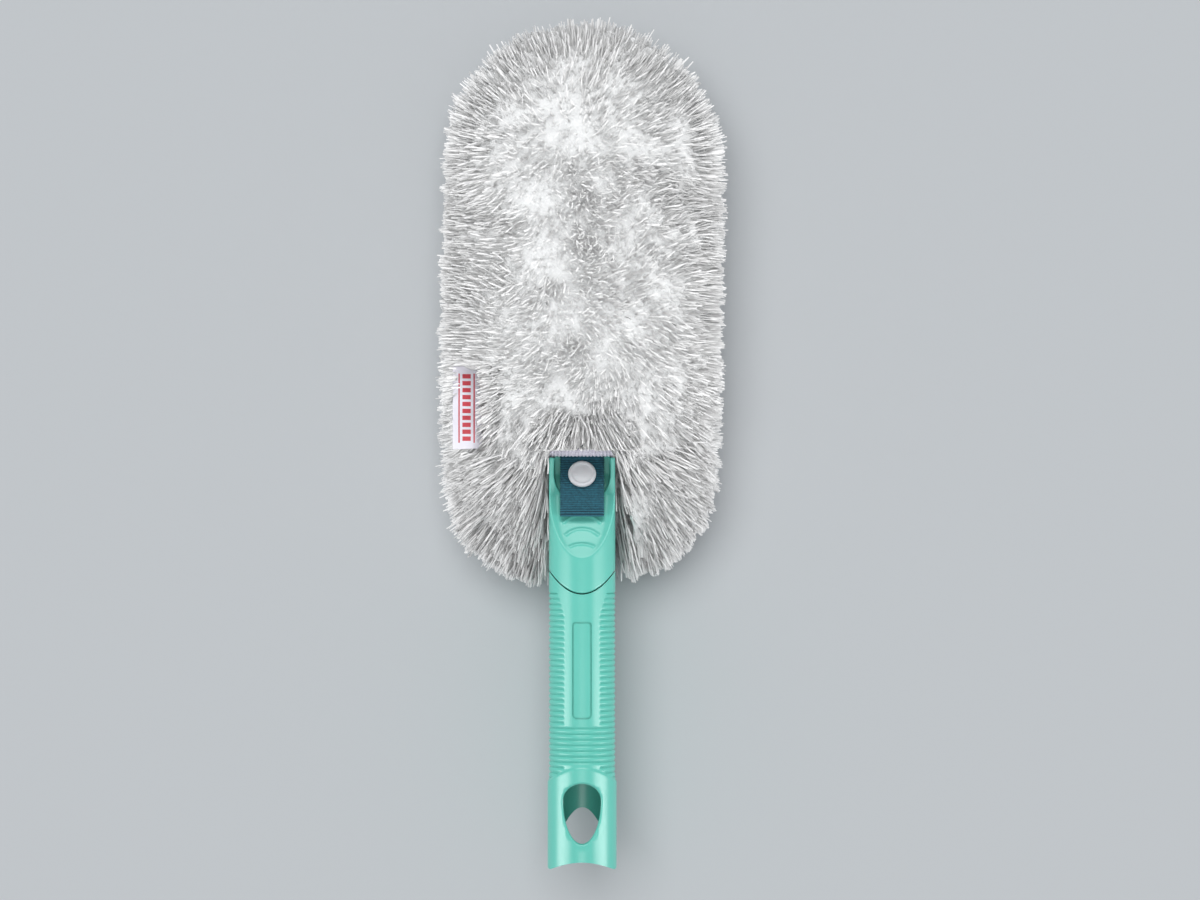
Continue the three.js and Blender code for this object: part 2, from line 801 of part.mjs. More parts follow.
function group(name, ...children) {
  const made = new THREE.Group();
  made.name = name;
  made.add(...children);
  return made;
}

const handle = group('handle', piece('grip_shell', makeGrip(), plastic));
const neck = group(
  'neck',
  piece('neck_shell', makeNeck(), plastic),
  piece('paddle_frame', makeFrame(), framePlastic),
  piece('snap_stud', makeStud(), nickel),
);
const cover = group(
  'cover',
  piece('front_panel', makeFrontCloth(), cloth),
  piece('back_panel', makeBackCloth(), cloth),
  piece('edge_tape', makeTape(), cloth),
  piece('mouth_binding', makeBinding(), knit),
  piece('side_label', labelBody(0, 0), satin),
  piece('pile_front', largest(makeFrontPile()), pile),
  piece('pile_back', largest(makeBackPile()), pile),
  piece('pile_flap_left', largest(makeFlapPile(-1)), pile),
  piece('pile_flap_right', largest(makeFlapPile(1)), pile),
);
const strap = group(
  'strap_tab',
  piece('closing_strap', makeStrap(), webbing),
  piece('snap_cap', makeCap(), nickel),
  piece('snap_socket', makeSocketRing(), nickel),
);

const duster = group('duster', handle, neck, cover, strap);
duster.position.set(0, -overallLength / 2, -floorZ);
const part = group('part', duster);

export default part;
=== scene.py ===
"""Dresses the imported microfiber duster: moulded handle, press-stud strap and long white pile."""

from __future__ import annotations

import json
import logging
import math
from dataclasses import dataclass, field
from enum import Enum
from typing import Any, Callable, Sequence

import bpy
import numpy as np
from mathutils import Matrix, Vector

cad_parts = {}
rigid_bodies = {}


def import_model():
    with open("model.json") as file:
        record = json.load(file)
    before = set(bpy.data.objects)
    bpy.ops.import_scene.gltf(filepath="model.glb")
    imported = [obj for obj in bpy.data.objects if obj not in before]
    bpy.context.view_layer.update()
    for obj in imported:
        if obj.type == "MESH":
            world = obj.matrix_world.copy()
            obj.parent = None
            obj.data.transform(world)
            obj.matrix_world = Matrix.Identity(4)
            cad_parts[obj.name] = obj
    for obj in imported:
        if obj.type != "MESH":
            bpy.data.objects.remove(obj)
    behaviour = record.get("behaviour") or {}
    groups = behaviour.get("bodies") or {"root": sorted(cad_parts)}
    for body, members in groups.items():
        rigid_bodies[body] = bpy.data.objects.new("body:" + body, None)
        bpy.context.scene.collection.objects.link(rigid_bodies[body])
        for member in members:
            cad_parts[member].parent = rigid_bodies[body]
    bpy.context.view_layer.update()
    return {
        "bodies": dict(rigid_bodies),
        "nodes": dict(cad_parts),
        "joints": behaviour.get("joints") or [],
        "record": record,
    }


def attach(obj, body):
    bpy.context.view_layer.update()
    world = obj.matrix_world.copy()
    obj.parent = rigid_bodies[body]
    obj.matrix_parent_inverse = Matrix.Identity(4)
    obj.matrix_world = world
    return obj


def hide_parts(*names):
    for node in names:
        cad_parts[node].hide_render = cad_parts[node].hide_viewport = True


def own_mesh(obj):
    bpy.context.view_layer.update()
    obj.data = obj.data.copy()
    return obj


Piece = bpy.types.Object
Array = np.ndarray
Rng = np.random.Generator

LOG = logging.getLogger("duster")

# The handle's own frame is in millimetres, from the tips of the grip along the tube's axis.
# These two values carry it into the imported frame.
HANDLE_MIDDLE_MM = 195.5
AXIS_HEIGHT_MM = 38.146

# Corners of a piece that lie nearer than this, in millimetres, are one corner.
MERGE_MM = 1e-4


class Plane(Enum):
    """The plane in which a prism's outline is drawn."""

    FRONT = "front"
    SIDE = "side"


class Hand(Enum):
    """The left and the right of the neck, as the front is seen."""

    LEFT = -1
    RIGHT = 1


class Body(str, Enum):
    """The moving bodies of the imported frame."""

    GRIP = "grip"
    HEAD = "head"
    STRAP = "strap"


class Slot(str, Enum):
    """The record's material slots."""

    PLASTIC = "turquoise_plastic"
    FRAME = "frame_plastic"
    CLOTH = "backing_cloth"
    KNIT = "knit_binding"
    SATIN = "label_satin"
    PILE = "microfiber_pile"
    WEBBING = "strap_webbing"
    SNAP = "snap_plastic"


def linear(hex_colour: str) -> tuple[float, float, float, float]:
    """Turns an sRGB hex value into linear light.

    Args:
        hex_colour: Six hex digits after a number sign.

    Returns:
        Red, green, blue and an alpha of one.
    """
    channels = [int(hex_colour[i : i + 2], 16) / 255 for i in (1, 3, 5)]
    lit = [c / 12.92 if c <= 0.04045 else ((c + 0.055) / 1.055) ** 2.4 for c in channels]
    return lit[0], lit[1], lit[2], 1.0


def unit(vectors: Array) -> Array:
    """Gives every vector a length of one."""
    return vectors / (np.linalg.norm(vectors, axis=-1, keepdims=True) + 1e-9)


def compass(angle: Array, hand: Array | float = 1.0) -> Array:
    """Gives directions in the plane from angles, mirrored where the hand is -1."""
    return np.column_stack([hand * np.cos(angle), np.sin(angle)])


def tilted(heading: Array, degrees: Array) -> Array:
    """Gives directions in space from directions in the plane and angles from the upright."""
    tilt = np.radians(degrees)
    return np.column_stack([heading * np.sin(tilt)[:, None], np.cos(tilt)])


def add_node(
    tree: bpy.types.NodeTree, kind: str, inputs: dict[str | int, Any] | None = None, **settings: Any
) -> bpy.types.Node:
    """Adds one node with its settings, values and links.

    Args:
        tree: The material's node tree.
        kind: The node's type name.
        inputs: Values, or sockets to link, by input name or number.
        settings: Properties of the node.

    Returns:
        The new node.
    """
    made = tree.nodes.new(kind)
    for key, value in settings.items():
        setattr(made, key, value)
    for key, value in (inputs or {}).items():
        if isinstance(value, bpy.types.NodeSocket):
            tree.links.new(value, made.inputs[key])
        else:
            made.inputs[key].default_value = value
    return made


class Bench:
    """Modelling by operators, in millimetres and in the handle's frame."""

    @staticmethod
    def take(piece: Piece) -> None:
        """Selects one piece alone and makes it active.

        Args:
            piece: The piece.
        """
        Bench.clear()
        piece.select_set(True)
        bpy.context.view_layer.objects.active = piece

    @staticmethod
    def clear() -> None:
        """Leaves edit mode and deselects everything."""
        active = bpy.context.view_layer.objects.active
        if active is not None and active.mode != "OBJECT":
            bpy.ops.object.mode_set(mode="OBJECT")
        bpy.ops.object.select_all(action="DESELECT")

    @staticmethod
    def edit(piece: Piece, *steps: tuple[Callable[..., Any], dict[str, Any]]) -> None:
        """Works on the whole of a piece in edit mode.

        Args:
            piece: The piece.
            steps: Mesh operators with their settings, each run with everything selected.
        """
        Bench.take(piece)
        bpy.ops.object.mode_set(mode="EDIT")
        for operator, settings in steps:
            bpy.ops.mesh.select_all(action="SELECT")
            operator(**settings)
        bpy.ops.object.mode_set(mode="OBJECT")

    @staticmethod
    def merge(piece: Piece) -> None:
        """Merges a piece's doubles and drops its faces of no size."""
        near = {"threshold": MERGE_MM}
        Bench.edit(piece, (bpy.ops.mesh.remove_doubles, near), (bpy.ops.mesh.dissolve_degenerate, near))

    @staticmethod
    def outward(piece: Piece) -> None:
        """Turns a piece's faces outwards."""
        Bench.edit(piece, (bpy.ops.mesh.normals_make_consistent, {"inside": False}))

    @staticmethod
    def extrude(piece: Piece, move: tuple[float, float, float]) -> None:
        """Extrudes the whole of an open piece into a closed one.

        Args:
            piece: The piece.
            move: How far it is drawn out.
        """
        settings = {"TRANSFORM_OT_translate": {"value": move}}
        Bench.edit(piece, (bpy.ops.mesh.extrude_region_move, settings))
        Bench.outward(piece)

    @staticmethod
    def prism(
        name: str, outline: Sequence[tuple[float, float]], low: float, high: float, plane: Plane
    ) -> Piece:
        """Extrudes an outline.

        Args:
            name: The piece's name.
            outline: Points in the plane: across and along, or along and out.
            low: Where the extrusion starts.
            high: Where it ends.
            plane: The plane that the outline is drawn in.

        Returns:
            The closed prism.
        """
        Bench.clear()
        bpy.ops.mesh.primitive_circle_add(vertices=len(outline), radius=1, fill_type="NGON")
        piece = bpy.context.object
        piece.name = name
        for vertex, (u, v) in zip(piece.data.vertices, outline):
            vertex.co = (u, v, low) if plane is Plane.FRONT else (low, u, v)
        rise = high - low
        Bench.extrude(piece, (0, 0, rise) if plane is Plane.FRONT else (rise, 0, 0))
        return piece

    @staticmethod
    def sheet(name: str, points: Array) -> Piece:
        """Shapes a grid of cells into an open sheet.

        Args:
            name: The piece's name.
            points: Rows by columns by three coordinates.

        Returns:
            The open sheet.
        """
        rows, columns = points.shape[:2]
        Bench.clear()
        bpy.ops.mesh.primitive_grid_add(x_subdivisions=columns - 1, y_subdivisions=rows - 1, size=2)
        piece = bpy.context.object
        piece.name = name
        piece.data.vertices.foreach_set("co", points.reshape(-1).astype(np.float32))
        piece.data.update()
        return piece

    @staticmethod
    def rolled(name: str, rings: Array) -> Piece:
        """Rolls a grid of cells into a closed body with filled ends.

        Args:
            name: The piece's name.
            rings: Rings by points round each by three coordinates.

        Returns:
            The closed body, its normals outwards.
        """
        piece = Bench.sheet(name, np.concatenate([rings, rings[:, :1]], axis=1))
        Bench.merge(piece)
        Bench.edit(piece, (bpy.ops.mesh.fill_holes, {"sides": 0}))
        Bench.outward(piece)
        return piece

    @staticmethod
    def turned(name: str, profile: Sequence[tuple[float, float]], sides: int) -> Piece:
        """Turns a profile about the handle's axis.

        Args:
            name: The piece's name.
            profile: Pairs of radius and distance along the handle.
            sides: Faces round the axis.

        Returns:
            The closed body.
        """
        turn = np.linspace(0, 2 * math.pi, sides, endpoint=False)
        rings = [[(r * math.cos(a), y, r * math.sin(a)) for a in turn] for r, y in profile]
        return Bench.rolled(name, np.array(rings))

    @staticmethod
    def modify(piece: Piece, kind: str, **settings: Any) -> None:
        """Adds one modifier with its settings and applies it.

        Args:
            piece: The piece.
            kind: The modifier's type name.
            settings: Its properties.
        """
        Bench.take(piece)
        modifier = piece.modifiers.new(kind.title(), kind)
        for key, value in settings.items():
            setattr(modifier, key, value)
        bpy.ops.object.modifier_apply(modifier=modifier.name)

    @staticmethod
    def combine(piece: Piece, tool: Piece, operation: str) -> None:
        """Joins or cuts a piece with a tool, which is then removed."""
        Bench.modify(piece, "BOOLEAN", object=tool, operation=operation, solver="EXACT")
        bpy.data.objects.remove(tool, do_unlink=True)

    @staticmethod
    def smooth(piece: Piece, degrees: float) -> None:
        """Shades a piece smooth, apart from edges sharper than an angle."""
        Bench.take(piece)
        bpy.ops.object.shade_smooth_by_angle(angle=math.radians(degrees))

    @staticmethod
    def turn(piece: Piece, matrix: Matrix) -> None:
        """Moves a piece's mesh by a matrix."""
        piece.data.transform(matrix)
        piece.data.update()

    @staticmethod
    def place(piece: Piece) -> Piece:
        """Carries a finished mesh from the handle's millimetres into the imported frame.

        Args:
            piece: The piece.

        Returns:
            The same piece.
        """
        shift = Matrix.Translation((0, -HANDLE_MIDDLE_MM / 1000, AXIS_HEIGHT_MM / 1000))
        Bench.turn(piece, shift @ Matrix.Scale(0.001, 4))
        return piece


@dataclass(frozen=True)
class Finish:
    """A finish, with the values that every one of them has."""

    name: str
    colour: str
    roughness: float
    ior: float = 1.5
    specular: float = 0.5
    sheen: float = 0.0
    # The light that goes into the surface and comes out again: its share, its tint and its reach.
    glow: float = 0.0
    glow_tint: tuple[float, float, float] = (1.0, 1.0, 1.0)
    glow_mm: float = 5.0

    def start(self) -> tuple[bpy.types.Material, bpy.types.NodeTree, bpy.types.Node]:
        """Makes the material.

        Returns:
            The material, its tree and its shader node.
        """
        material = bpy.data.materials.new(self.name)
        material.use_nodes = True
        material.diffuse_color = linear(self.colour)
        tree = material.node_tree
        shader = tree.nodes["Principled BSDF"]
        for socket, value in {
            "Base Color": linear(self.colour),
            "Roughness": self.roughness,
            "IOR": self.ior,
            "Specular IOR Level": self.specular,
            "Sheen Weight": self.sheen,
            "Subsurface Weight": self.glow,
            "Subsurface Radius": self.glow_tint,
            "Subsurface Scale": self.glow_mm / 1000,
        }.items():
            shader.inputs[socket].default_value = value
        return material, tree, shader

    def make(self) -> bpy.types.Material:
        """Builds the material's nodes."""
        return self.start()[0]


@dataclass(frozen=True)
class Textured(Finish):
    """A finish with a pattern that shades its colour and raises its surface."""

    shade: str = "#FFFFFF"
    depth_mm: float = 0.1
    relief: float = 0.7

    def texture(
        self,
        tree: bpy.types.NodeTree,
        shader: bpy.types.Node,
        tone: bpy.types.NodeSocket,
        height: bpy.types.NodeSocket,
    ) -> None:
        """Lets one pattern mix the finish's two colours and another one raise its surface.

        Args:
            tree: The material's node tree.
            shader: Its shader node.
            tone: Where the colour shows in full, from 0 to 1.
            height: Where the surface is raised, from 0 to 1.
        """
        colour = add_node(
            tree,
            "ShaderNodeMix",
            {"Factor": tone, 6: linear(self.shade), 7: linear(self.colour)},
            data_type="RGBA",
        )
        tree.links.new(colour.outputs[2], shader.inputs["Base Color"])
        bump = add_node(
            tree,
            "ShaderNodeBump",
            {"Height": height, "Distance": self.depth_mm / 1000, "Strength": self.relief},
        )
        tree.links.new(bump.outputs["Normal"], shader.inputs["Normal"])


@dataclass(frozen=True)
class MouldedPlastic(Textured):
    """Injection-moulded polypropylene: even colour, soft satin gloss, a faint grain from the mould."""

    glow: float = 0.08
    glow_tint: tuple[float, float, float] = (0.4, 1.0, 0.9)
    glow_mm: float = 1.5
    shade: str = "#56AEA0"
    depth_mm: float = 0.012
    relief: float = 0.6
    # Coarser than a real mould's grain, so that it shows in the render.
    grain_mm: float = 0.55
    cloud_mm: float = 45.0
    duller: float = 0.07
    glossier: float = 0.05

    def make(self) -> bpy.types.Material:
        """Builds the material's nodes.

        Returns:
            The material.
        """
        material, tree, shader = self.start()
        where = add_node(tree, "ShaderNodeTexCoord").outputs["Object"]
        cloud = add_node(
            tree, "ShaderNodeTexNoise", {"Vector": where, "Scale": 1000 / self.cloud_mm, "Detail": 3.0}
        )
        grain = add_node(
            tree, "ShaderNodeTexNoise", {"Vector": where, "Scale": 1000 / self.grain_mm, "Detail": 2.0}
        )
        gloss = add_node(
            tree,
            "ShaderNodeMapRange",
            {
                "Value": grain.outputs["Fac"],
                "To Min": self.roughness - self.glossier,
                "To Max": self.roughness + self.duller,
            },
        )
        tree.links.new(gloss.outputs["Result"], shader.inputs["Roughness"])
        self.texture(tree, shader, cloud.outputs["Fac"], grain.outputs["Fac"])
        return material


@dataclass(frozen=True)
class CutPile(Finish):
    """Split polyester microfibre in long soft strands: matt white, a soft sheen, greyer at the root as
    painted shade.
    """

    specular: float = 0.2
    sheen: float = 0.2
    glow: float = 0.85
    glow_mm: float = 4.0
    # The root's greyer colour and how far along it reaches: painted shade deep in the pile.
    root: str = "#F0F1F0"
    root_shade_share: float = 0.6
    darkest: float = 0.94

    def make(self) -> bpy.types.Material:
        """Builds the material's nodes.

        Returns:
            The material.
        """
        material, tree, shader = self.start()
        strand = add_node(tree, "ShaderNodeAttribute", attribute_name="strand")
        parts = add_node(tree, "ShaderNodeSeparateColor", {"Color": strand.outputs["Color"]})
        along = add_node(
            tree,
            "ShaderNodeMapRange",
            {"Value": parts.outputs["Red"], "From Max": self.root_shade_share},
        )
        colour = add_node(
            tree,
            "ShaderNodeMix",
            {"Factor": along.outputs["Result"], 6: linear(self.root), 7: linear(self.colour)},
            data_type="RGBA",
        )
        # Each strand's tone darkens it: painted shade in soft patches, and a random part of its own.
        tone = add_node(
            tree,
            "ShaderNodeMapRange",
            {"Value": parts.outputs["Green"], "To Min": self.darkest},
        )
        toned = add_node(
            tree,
            "ShaderNodeVectorMath",
            {0: colour.outputs[2], "Scale": tone.outputs["Result"]},
            operation="SCALE",
        )
        tree.links.new(toned.outputs["Vector"], shader.inputs["Base Color"])
        return material


@dataclass(frozen=True)
class Fluff(Textured):
    """Short tangled microfibre: matt white, in tufts of a few millimetres with soft shade between."""

    specular: float = 0.1
    glow: float = 1.0
    shade: str = "#DADBDB"
    depth_mm: float = 0.5
    tuft_mm: float = 2.4

    def make(self) -> bpy.types.Material:
        """Builds the material's nodes.

        Returns:
            The material.
        """
        material, tree, shader = self.start()
        where = add_node(tree, "ShaderNodeTexCoord").outputs["Object"]
        tuft = add_node(
            tree,
            "ShaderNodeTexNoise",
            {"Vector": where, "Scale": 1000 / self.tuft_mm, "Detail": 5.0, "Distortion": 0.6},
        )
        self.texture(tree, shader, tuft.outputs["Fac"], tuft.outputs["Fac"])
        return material


@dataclass(frozen=True)
class WovenCloth(Textured):
    """Plain-woven polyester: two sets of threads that cross, matt, with a little sheen."""

    sheen: float = 0.2
    shade: str = "#B9BBBE"
    depth_mm: float = 0.12
    relief: float = 0.8
    # Coarser than the real thread, so that the weave shows in the render.
    thread_mm: float = 0.7

    def make(self) -> bpy.types.Material:
        """Builds the material's nodes.

        Returns:
            The material.
        """
        material, tree, shader = self.start()
        where = add_node(tree, "ShaderNodeTexCoord").outputs["Object"]
        turns = {"Vector": where, "Scale": 1000 / self.thread_mm / (2 * math.pi) * 2, "Distortion": 0.4}
        warp = add_node(tree, "ShaderNodeTexWave", turns, bands_direction="X")
        weft = add_node(tree, "ShaderNodeTexWave", turns, bands_direction="Y")
        weave = add_node(
            tree,
            "ShaderNodeMath",
            {0: warp.outputs["Fac"], 1: weft.outputs["Fac"]},
            operation="MULTIPLY",
        )
        self.texture(tree, shader, weave.outputs["Value"], weave.outputs["Value"])
        return material


@dataclass(frozen=True)
class WovenLabel(WovenCloth):
    """Satin ribbon with a plain woven border: two red lines with a row of red blocks between them."""

    red: str = "#B8323F"
    middle_mm: tuple[float, float] = (0.0, 0.0)
    half_mm: tuple[float, float] = (3.4, 15.9)
    line_mm: float = 0.32
    block_mm: float = 1.9
    pitch_mm: float = 3.18
    block_share: float = 0.32

    def make(self) -> bpy.types.Material:
        """Builds the material's nodes.

        Returns:
            The material.
        """
        material = super().make()
        tree = material.node_tree
        shader = tree.nodes["Principled BSDF"]
        ribbon = shader.inputs["Base Color"].links[0].from_socket
        where = add_node(tree, "ShaderNodeTexCoord").outputs["Object"]
        place = add_node(tree, "ShaderNodeSeparateXYZ", {"Vector": where})

        x, y = place.outputs["X"], place.outputs["Y"]
        (across, along), (half, reach) = self.middle_mm, self.half_mm
        repeat = add_node(
            tree, "ShaderNodeMath", {0: y, 1: self.pitch_mm / 1000}, operation="FLOORED_MODULO"
        ).outputs["Value"]
        masks = {}
        for part, value, middle, room in (
            ("left", x, across - half, self.line_mm),
            ("right", x, across + half, self.line_mm),
            ("column", x, across, self.block_mm),
            ("row", repeat, self.pitch_mm / 2, self.pitch_mm * self.block_share),
            ("length", y, along, reach),
        ):
            masks[part] = add_node(
                tree,
                "ShaderNodeMath",
                {0: value, 1: middle / 1000, 2: room / 1000},
                operation="COMPARE",
            ).outputs["Value"]
        for part, one, two, operation in (
            ("lines", "left", "right", "MAXIMUM"),
            ("blocks", "column", "row", "MINIMUM"),
            ("drawn", "lines", "blocks", "MAXIMUM"),
            ("border", "drawn", "length", "MINIMUM"),
        ):
            masks[part] = add_node(
                tree, "ShaderNodeMath", {0: masks[one], 1: masks[two]}, operation=operation
            ).outputs["Value"]
        colour = add_node(
            tree,
            "ShaderNodeMix",
            {"Factor": masks["border"], 6: ribbon, 7: linear(self.red)},
            data_type="RGBA",
        )
        tree.links.new(colour.outputs[2], shader.inputs["Base Color"])
        return material


@dataclass(frozen=True)
class Webbing(Textured):
    """Dyed polyester grosgrain: ribs across in the mesh, fine threads along it, a dull silky sheen."""

    specular: float = 0.3
    sheen: float = 0.05
    # The colour in the rib valleys: painted shade.
    shade: str = "#0B2A35"
    depth_mm: float = 0.06
    # Coarser than the real thread, so that it shows in the render.
    thread_mm: float = 0.45
    speck_mm: float = 1000 / 900

    def make(self) -> bpy.types.Material:
        """Builds the material's nodes.

        Returns:
            The material.
        """
        material, tree, shader = self.start()
        weave = add_node(tree, "ShaderNodeAttribute", attribute_name="weave")
        parts = add_node(tree, "ShaderNodeSeparateColor", {"Color": weave.outputs["Color"]})
        where = add_node(tree, "ShaderNodeTexCoord").outputs["Object"]
        thread = add_node(
            tree,
            "ShaderNodeTexWave",
            {"Vector": where, "Scale": 1000 / self.thread_mm / (2 * math.pi), "Distortion": 1.2},
            bands_direction="X",
        )
        speck = add_node(
            tree, "ShaderNodeTexNoise", {"Vector": where, "Scale": 1000 / self.speck_mm, "Detail": 3.0}
        )
        mixed = add_node(
            tree,
            "ShaderNodeMath",
            {0: parts.outputs["Red"], 1: speck.outputs["Fac"], 2: 0.0},
            operation="MULTIPLY_ADD",
        )
        level = add_node(
            tree,
            "ShaderNodeMapRange",
            {"Value": mixed.outputs["Value"], "From Min": 0.05, "From Max": 0.6},
        )
        self.texture(tree, shader, level.outputs["Result"], thread.outputs["Fac"])
        return material


@dataclass(frozen=True)
class FloorPaper(Finish):
    """Matt studio paper: pale, even, with a faint fibre."""

    fibre_mm: float = 2.5
    depth_mm: float = 0.1
    relief: float = 0.2

    def make(self) -> bpy.types.Material:
        """Builds the material's nodes.

        Returns:
            The material.
        """
        material, tree, shader = self.start()
        where = add_node(tree, "ShaderNodeTexCoord").outputs["Object"]
        fibre = add_node(
            tree, "ShaderNodeTexNoise", {"Vector": where, "Scale": 1000 / self.fibre_mm, "Detail": 4.0}
        )
        bump = add_node(
            tree,
            "ShaderNodeBump",
            {"Height": fibre.outputs["Fac"], "Distance": self.depth_mm / 1000, "Strength": self.relief},
        )
        tree.links.new(bump.outputs["Normal"], shader.inputs["Normal"])
        return material


class Finishes:
    """Every finish of the duster, each made once."""

    def __init__(self) -> None:
        """Makes the materials."""
        self.turquoise = MouldedPlastic("moulded_turquoise_polypropylene", "#5CB4A6", 0.3, 1.49).make()
        self.frame = MouldedPlastic(
            "moulded_pale_polypropylene", "#DCE8E4", 0.5, 1.49, shade="#D2E0DB"
        ).make()
        self.snap = MouldedPlastic(
            "moulded_grey_acetal", "#BEC0C3", 0.34, 1.48, grain_mm=0.4, shade="#B7B9BD"
        ).make()
        self.pile = CutPile("cut_microfibre_pile", "#FAFAF9", 0.85).make()
        # The fluff takes a greyer white than the strands of the same fibre: painted shade for the depth
        # of the pile.
        self.fluff = Fluff("short_microfibre_fluff_shaded", "#E8E9E9", 0.95).make()
        self.cloth = WovenCloth("woven_backing_cloth", "#E6E6E8", 0.9).make()
        self.knit = WovenCloth(
            "ribbed_knit_binding", "#E9E7F0", 0.85, thread_mm=0.8, shade="#C9C6D6"
        ).make()
        self.satin = WovenLabel(
            "satin_ribbon",
            "#DEDCE4",
            0.45,
            thread_mm=0.5,
            depth_mm=0.03,
            shade="#D2D0DA",
            middle_mm=(-53.0, 15.6),
        ).make()
        self.webbing = Webbing("dyed_grosgrain_webbing", "#235F70", 0.8).make()
        self.paper = FloorPaper("pale_studio_paper", "#D0D4D7", 0.9).make()


def dress(
    piece: Piece,
    material: bpy.types.Material,
    body: Body,
    nodes: Sequence[str] = (),
) -> None:
    """Gives a finished piece its material, its body and the nodes that it stands for.

    Args:
        piece: The piece, already placed.
        material: Its finish.
        body: The body that it rides on.
        nodes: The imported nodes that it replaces.
    """
    piece.data.materials.clear()
    piece.data.materials.append(material)
    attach(piece, body.value)
    if nodes:
        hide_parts(*nodes)
    LOG.info("%s: %d faces on %s", piece.name, len(piece.data.polygons), body.value)


@dataclass
class Grip:
    """The ribbed grip, with its pole socket, latch window and bare framed panel."""

    radius: float = 15.2
    collar_radius: float = 15.8
    length: float = 126.5
    seam_rise: float = 10.4
    collar_length: float = 41.0
    collar_arch: float = 6.8
    front_scallop: float = 4.5
    rear_scallop: float = 26.7
    socket_radius: float = 12.7
    socket_depth: float = 58.0
    bulkhead: float = 3.0
    plug_bore: float = 12.4
    window_half: float = 9.0
    window_top: float = 40.5
    window_bottom: float = 12.4
    window_widest: float = 32.2
    rib_pitch: float = 2.56
    rib_depth: float = 0.65
    rib_count: int = 33
    band_half: float = 8.4
    band_flare: float = 0.3
    cross_low: float = 48.2
    cross_high: float = 66.4
    panel_half: float = 4.45
    panel_base: float = 69.6
    panel_length: float = 44.3
    groove: float = 0.8
    seam_gap: float = 0.3
    tool_half: float = 21.0
    tool_reach: float = 22.0
    sides: int = 168

    def parabola(
        self, name: str, middle: float, rise: float, far: float, low: float, high: float
    ) -> Piece:
        """Makes the region beyond a parabola across the tube.

        Args:
            name: The tool's name.
            middle: Where the curve crosses the middle line.
            rise: How far it has risen at the tube's side.
            far: Where the region ends.
            low: Its lower height.
            high: Its upper height.

        Returns:
            The closed region.
        """
        half = self.tool_half
        across = np.linspace(-half, half, 61)
        points = [(float(x), middle + rise * (x / self.radius) ** 2) for x in across]
        points += [(half, far), (-half, far)]
        return Bench.prism(name, points, low, high, Plane.FRONT)

    def surface(self, y: Array, turn: Array) -> Array:
        """Gives the tube's outer radius.

        Args:
            y: Distances along the handle.
            turn: Angles round it, from the right side towards the front.

        Returns:
            The radius at each point.
        """
        x = self.radius * np.cos(turn)
        front = np.sin(turn) > 0
        edge = self.collar_length + self.collar_arch * (1 - (x / self.radius) ** 2)
        step = np.clip(y - np.where(front, edge, self.collar_length) + 1.0, 0, 1)
        base = self.collar_radius + (self.radius - self.collar_radius) * step
        phase = (y - self.collar_length - 1) / self.rib_pitch
        inside = (phase > 0) & (phase < self.rib_count)
        crest = np.abs(np.sin(np.pi * phase)) ** 0.75
        arch = np.clip((y - edge) / 0.5, 0, 1)
        band = self.band_half + self.band_flare * np.clip(y - self.length + 10, 0, None)
        beside = np.clip((np.abs(x) - band) / 0.5 + 0.5, 0, 1)
        crossing = (y > self.cross_low) & (y < self.cross_high)
        ribbed = np.where(crossing | ~front, 1.0, beside) * arch * inside
        return base - self.rib_depth * ribbed * (1 - crest)

    def tube(self) -> Piece:
        """Rolls the ribbed outside of the grip.

        Returns:
            The closed tube.
        """
        top = self.length + self.seam_rise + 3
        plain = np.array([0.0, 0.25, 0.7, 1.5, 4, 9, 14, 20, 26, 32, 36, 39])
        ribs = self.collar_length - 1 + np.arange(0, self.rib_count * 9 + 14) * self.rib_pitch / 9
        smooth = np.linspace(ribs[-1] + 0.6, top, 8)
        heights = np.concatenate([plain, ribs, smooth])
        turn = np.linspace(0, 2 * math.pi, self.sides, endpoint=False)
        y, angle = np.meshgrid(heights, turn, indexing="ij")
        radius = self.surface(y, angle)
        radius -= np.interp(y, [0, 0.25, 0.7], [0.6, 0.22, 0.0])
        rings = np.stack([radius * np.cos(angle), y, radius * np.sin(angle)], axis=-1)
        return Bench.rolled("grip", rings)

    def window(self) -> Piece:
        """Makes the egg-shaped window's tool, which flares into a rounded rim at the surface.

        Returns:
            The closed tool.
        """
        turn = np.linspace(0, 2 * math.pi, 72, endpoint=False)
        reach = np.where(
            np.sin(turn) > 0,
            self.window_top - self.window_widest,
            self.window_widest - self.window_bottom,
        )
        # How far each ring has grown, and its depth under the surface or its flat height.
        steps = (
            (0, 0, 2.0),
            (0, -1.5, None),
            (0.12, -0.8, None),
            (0.45, -0.3, None),
            (0.95, 0.02, None),
            (1.2, 0.6, None),
            (1.2, 0, self.tool_reach),
        )
        rings = []
        for grow, depth, flat in steps:
            x = (self.window_half - 0.4 + grow) * np.cos(turn)
            y = self.window_widest + (reach - 0.4 + grow) * np.sin(turn)
            high = np.sqrt(self.collar_radius**2 - np.clip(x, -15, 15) ** 2)
            z = np.full_like(x, flat) if flat is not None else high + depth
            rings.append(np.stack([x, y, z], axis=-1))
        return Bench.rolled("window_tool", np.array(rings))

    def panel_groove(self) -> Piece:
        """Makes the tool for the groove round the bare panel.

        Returns:
            The closed tool.
        """
        def rounded(half: float, low: float, high: float, corner: float) -> list[tuple[float, float]]:
            """Gives a rectangle with round corners.

            Args:
                half: Half its width.
                low: Where it starts.
                high: Where it ends.
                corner: The radius of its corners.

            Returns:
                The outline's points.
            """
            points = []
            for cx, cy, start in ((1, 1, 0), (-1, 1, 90), (-1, -1, 180), (1, -1, 270)):
                for a in np.radians(np.linspace(start, start + 90, 9)):
                    x = cx * (half - corner) + corner * math.cos(a)
                    y = (high - corner if cy > 0 else low + corner) + corner * math.sin(a)
                    points.append((x, y))
            return points

